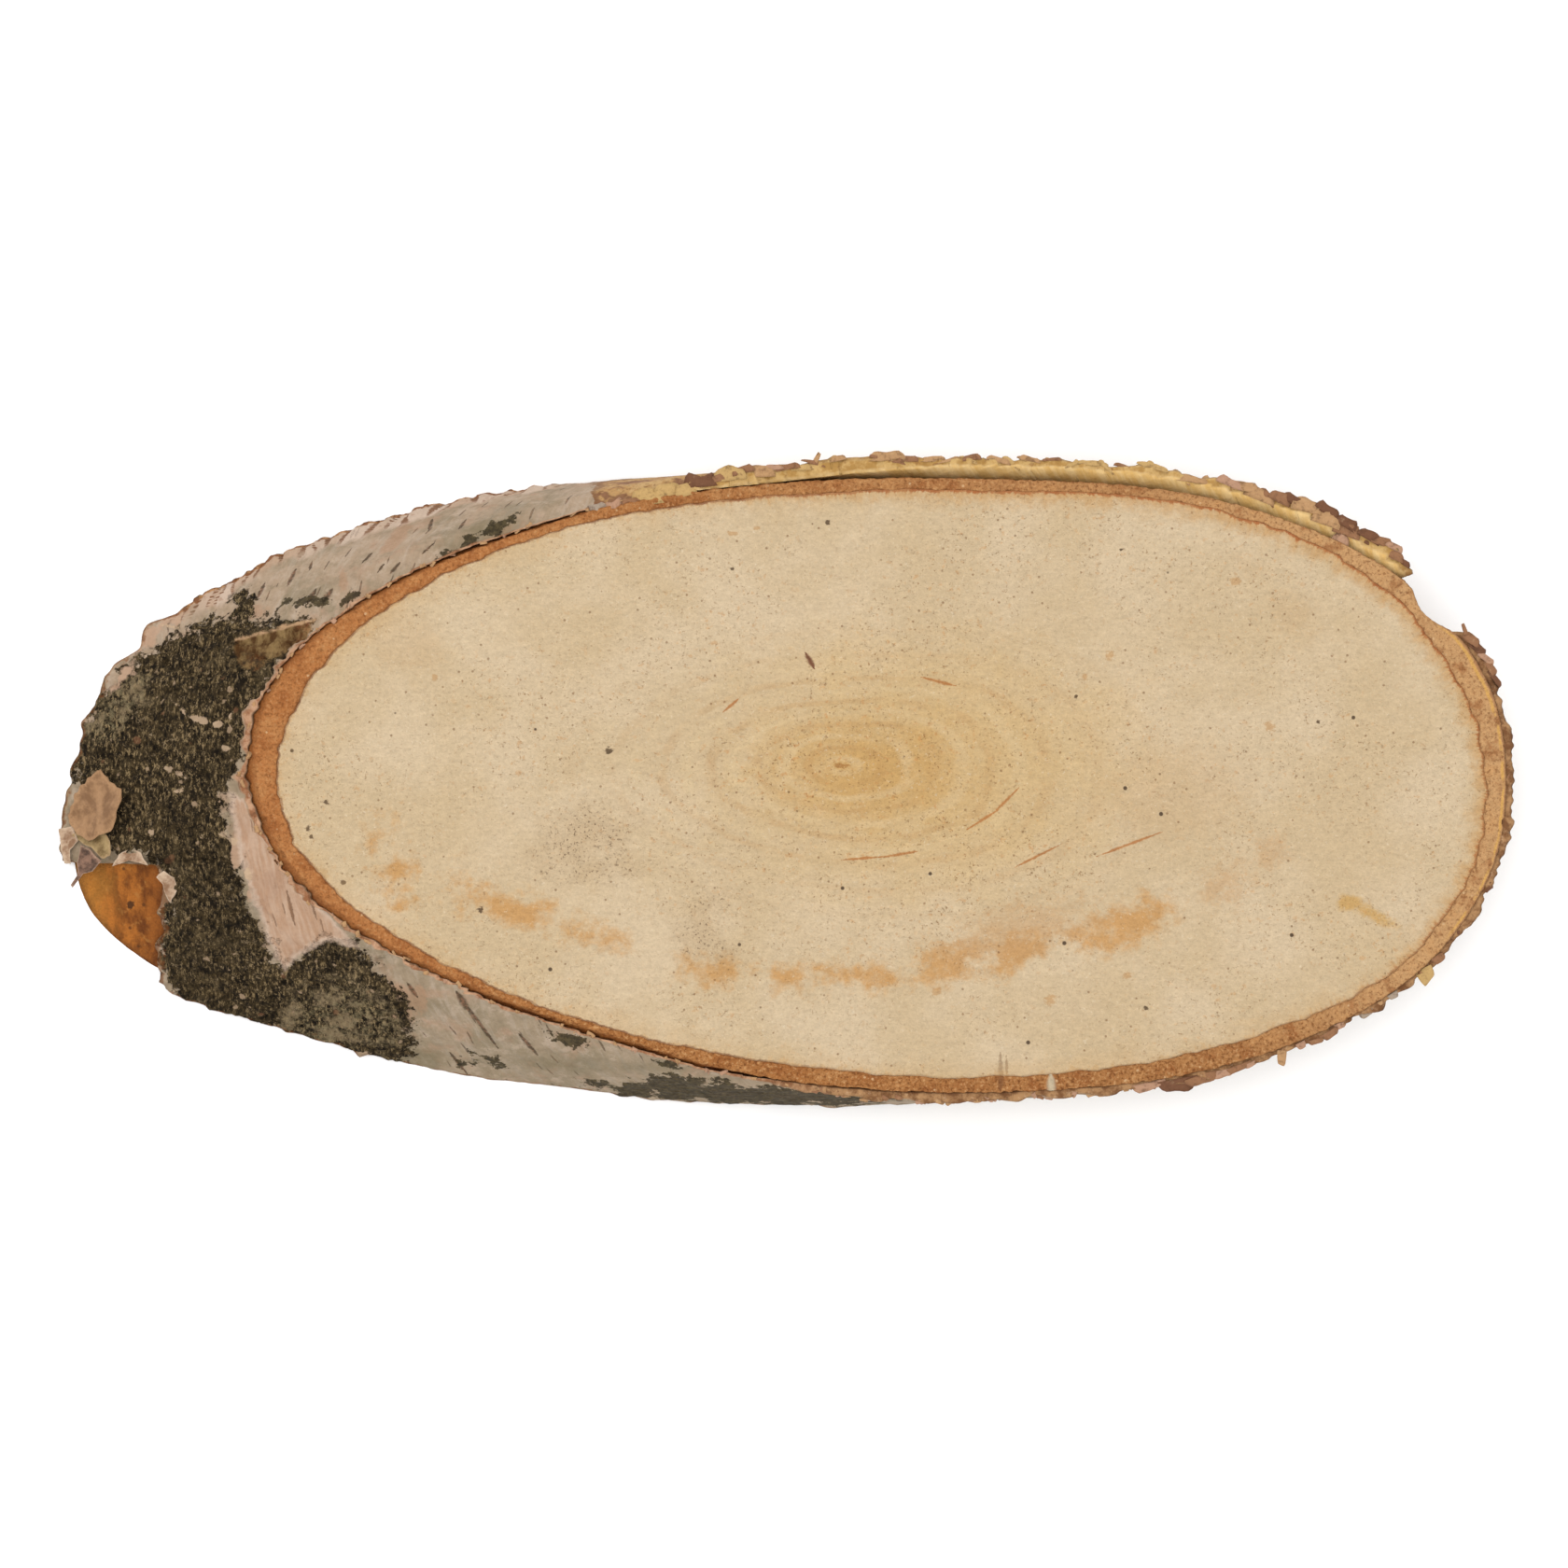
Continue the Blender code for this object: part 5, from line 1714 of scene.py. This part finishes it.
# %% Places of the plates
YELLOW, TAN, BROWN, DARK, PINK, GREY = 0.05, 0.25, 0.45, 0.62, 0.8, 0.97
PLATES = (
    (117.6, 1.2, 3.4, 1.6, 74, 10, GREY),
    (116.0, 1.6, 3.4, 1.8, 80, 0, PINK),
    (114.4, 1.4, 3.2, 1.7, 80, -10, BROWN),
    (112.8, 1.5, 4.6, 2.6, 84, 4, YELLOW),
    (110.6, 1.6, 5.0, 2.8, 84, -4, YELLOW),
    (108.6, 1.5, 3.4, 1.9, 82, 6, YELLOW),
    (106.8, 1.0, 5.6, 2.0, 80, -4, DARK),
    (105.2, 0.6, 3.0, 1.1, 76, 8, BROWN),
    (104.0, 1.3, 5.2, 2.1, 84, 0, YELLOW),
    (102.4, 0.6, 3.6, 1.2, 76, 8, BROWN),
    (100.9, 1.2, 4.8, 1.7, 82, -4, TAN),
    (99.4, 0.5, 3.0, 0.9, 76, 6, PINK),
    (98.2, 0.8, 4.0, 1.0, 80, 6, BROWN),
    (96.8, 0.8, 3.8, 0.9, 82, 0, YELLOW),
    (95.7, 0.3, 0.8, 2.0, 76, -30, TAN),
    (93.6, 0.4, 2.6, 0.8, 76, 8, TAN),
    (89.2, 0.6, 6.0, 1.5, 82, 3, TAN),
    (87.2, 0.3, 3.2, 1.0, 78, 0, BROWN),
    (85.0, 0.4, 4.0, 0.9, 80, 4, TAN),
    (81.6, 0.4, 3.0, 0.9, 80, 10, BROWN),
    (79.2, 0.4, 4.0, 0.9, 80, -8, TAN),
    (76.6, 0.6, 3.4, 0.8, 80, -6, TAN),
    (71.0, 0.4, 5.0, 0.7, 80, 4, YELLOW),
    (66.4, 0.4, 5.2, 0.7, 80, -4, YELLOW),
    (62.0, 0.8, 5.2, 1.1, 82, 6, TAN),
    (59.2, 0.5, 4.6, 1.2, 80, -6, PINK),
    (57.6, 0.8, 4.4, 1.4, 82, 8, TAN),
    (55.8, 1.4, 5.2, 1.9, 86, -3, TAN),
    (54.2, 0.6, 3.8, 1.5, 78, -8, BROWN),
    (52.8, 0.4, 5.0, 1.3, 74, -10, DARK),
    (51.4, 0.9, 5.0, 2.0, 82, 8, TAN),
    (50.0, 0.4, 4.2, 1.5, 76, -6, DARK),
    (48.8, 1.4, 4.8, 2.1, 86, 4, TAN),
    (47.4, 0.5, 3.8, 1.6, 76, -8, DARK),
    (46.2, 1.0, 4.6, 2.1, 82, 6, BROWN),
    (45.5, 2.4, 3.0, 1.6, 88, 0, PINK),
    (44.4, 0.5, 4.0, 1.4, 76, -6, DARK),
    (43.0, 0.7, 3.4, 1.3, 80, 8, BROWN),
    (41.8, 0.4, 3.0, 1.0, 76, -4, PINK),
    (40.6, 0.7, 3.2, 1.2, 80, 6, BROWN),
    (39.4, 0.4, 2.6, 0.9, 76, 0, DARK),
    (27.4, 0.2, 0.5, 1.3, 84, 70, TAN),
    (26.2, 0.2, 0.7, 1.8, 84, 64, BROWN),
    (24.8, 0.4, 3.0, 1.3, 80, 18, BROWN),
    (23.2, 0.4, 3.0, 1.2, 78, 6, DARK),
    (21.4, 0.3, 3.0, 1.1, 80, 10, PINK),
    (19.8, 0.3, 2.8, 1.0, 78, -4, BROWN),
    (18.0, 0.3, 3.2, 0.8, 78, 4, DARK),
    (294.2, 0.7, 5.4, 1.4, 88, 0, PINK),
    (296.7, 0.9, 6.4, 1.9, 94, -4, DARK),
    (298.6, 1.0, 5.4, 1.5, 88, 4, BROWN),
    (300.4, 0.7, 4.8, 1.2, 84, -4, PINK),
    (302.2, 0.6, 4.4, 0.9, 86, 4, BROWN),
    (306.8, 0.4, 1.5, 2.2, 94, -24, TAN),
    (308.8, 0.5, 1.6, 0.9, 86, 6, PINK),
    (310.2, 0.5, 2.6, 0.9, 84, -6, BROWN),
    (311.8, 0.5, 3.0, 1.2, 86, 6, BROWN),
    (313.4, 0.5, 2.6, 0.9, 84, -6, PINK),
    (316.5, 0.4, 2.4, 0.8, 86, 0, GREY),
    (320.4, 0.4, 1.8, 0.8, 84, 0, GREY),
    (325.4, 0.6, 2.8, 2.2, 92, -10, YELLOW),
    (327.8, 0.5, 2.4, 1.1, 84, 0, BROWN),
)


print(len(PLATES), "plates placed one by one")

# %% Small flakes between the plates
def scatter_flakes(first, last, count, width, length, lift, depth, tints):
    """Small flakes spread over part of the rim. Turns are in degrees and sizes in mm."""
    for number in range(count):
        degrees = first + (last - first) * (number + rng.random()) / count
        turn = math.radians(degrees) % math.tau
        height = rim_height(turn) - rng.uniform(*depth) * MM
        add_flake(rng.choice(tints), turn, height, SMALL_ROOT, rng.uniform(*width) * MM,
                  rng.uniform(*length) * MM, rng.uniform(*lift), rng.uniform(-35, 35), rng.uniform(-10, 20),
                  rng.randrange(1000))


for degrees, root, width, length, lift, heading, tint in PLATES:
    turn = math.radians(degrees)
    add_flake(tint, turn, rim_height(turn) - FLAKE_HEIGHT, root * MM, width * MM, length * MM, lift,
              heading, 8, round(degrees * 10))
scatter_flakes(39, 66, 22, (2.0, 3.8), (0.6, 1.1), (70, 85), (0.3, 1.6), (TAN, BROWN, DARK, TAN))
scatter_flakes(66, 96, 18, (2.0, 4.4), (0.4, 0.7), (75, 85), (0.1, 0.6), (YELLOW, YELLOW, TAN, BROWN))
scatter_flakes(264, 292, 30, (0.8, 2.4), (0.4, 0.8), (74, 92), (0.1, 1.0), (TAN, PINK, BROWN))
scatter_flakes(292, 345, 54, (0.9, 2.6), (0.4, 0.9), (76, 95), (0.3, 2.0), (TAN, PINK, BROWN, DARK))
scatter_flakes(-15, 25, 30, (1.0, 2.8), (0.3, 0.6), (74, 88), (0.3, 2.4), (TAN, PINK, BROWN, TAN))
scatter_flakes(117, 262, 60, (0.5, 1.5), (0.3, 0.6), (50, 80), (0.0, 0.4), (TAN, TAN, PINK))
print(len(PLATES), "plates and", len(flake_faces), "faces in the rim flakes")

# %% Finish of the flakes
flake = Finish("broken_rim_flakes", roughness=0.75, specular=0.2)
tint = flake.stored("tint")
skin = flake.noise(1.3, detail=4, roughness=0.7)
fine_skin = flake.noise(0.5, detail=2, roughness=0.7, shift=9)
shade = flake.mix(tint.ramp(0.1, 0.2), paint(206, 168, 108), paint(196, 152, 106))
for low, high, steps in ((0.3, 0.4, (158, 112, 78)), (0.5, 0.6, (124, 82, 56)),
                         (0.68, 0.76, (192, 148, 118)), (0.86, 0.94, (176, 156, 136))):
    shade = shade.coat(tint.ramp(low, high), *steps)
shade = shade.coat(skin.ramp(0.5, 0.32) * 0.55, 88, 56, 34)
shade = shade.coat(skin.ramp(0.58, 0.75) * 0.35, 222, 188, 144)
shade = flake.multiply(shade, 1 + (fine_skin - 0.5) * 0.4)
flake.put(Base_Color=shade, Normal=flake.bump(skin + fine_skin * 0.4, 0.0003, 0.7))
make_piece("rim_flakes", flake_points, flake_faces, flake.material, "outer_bark",
           {"tint": flake_tints})
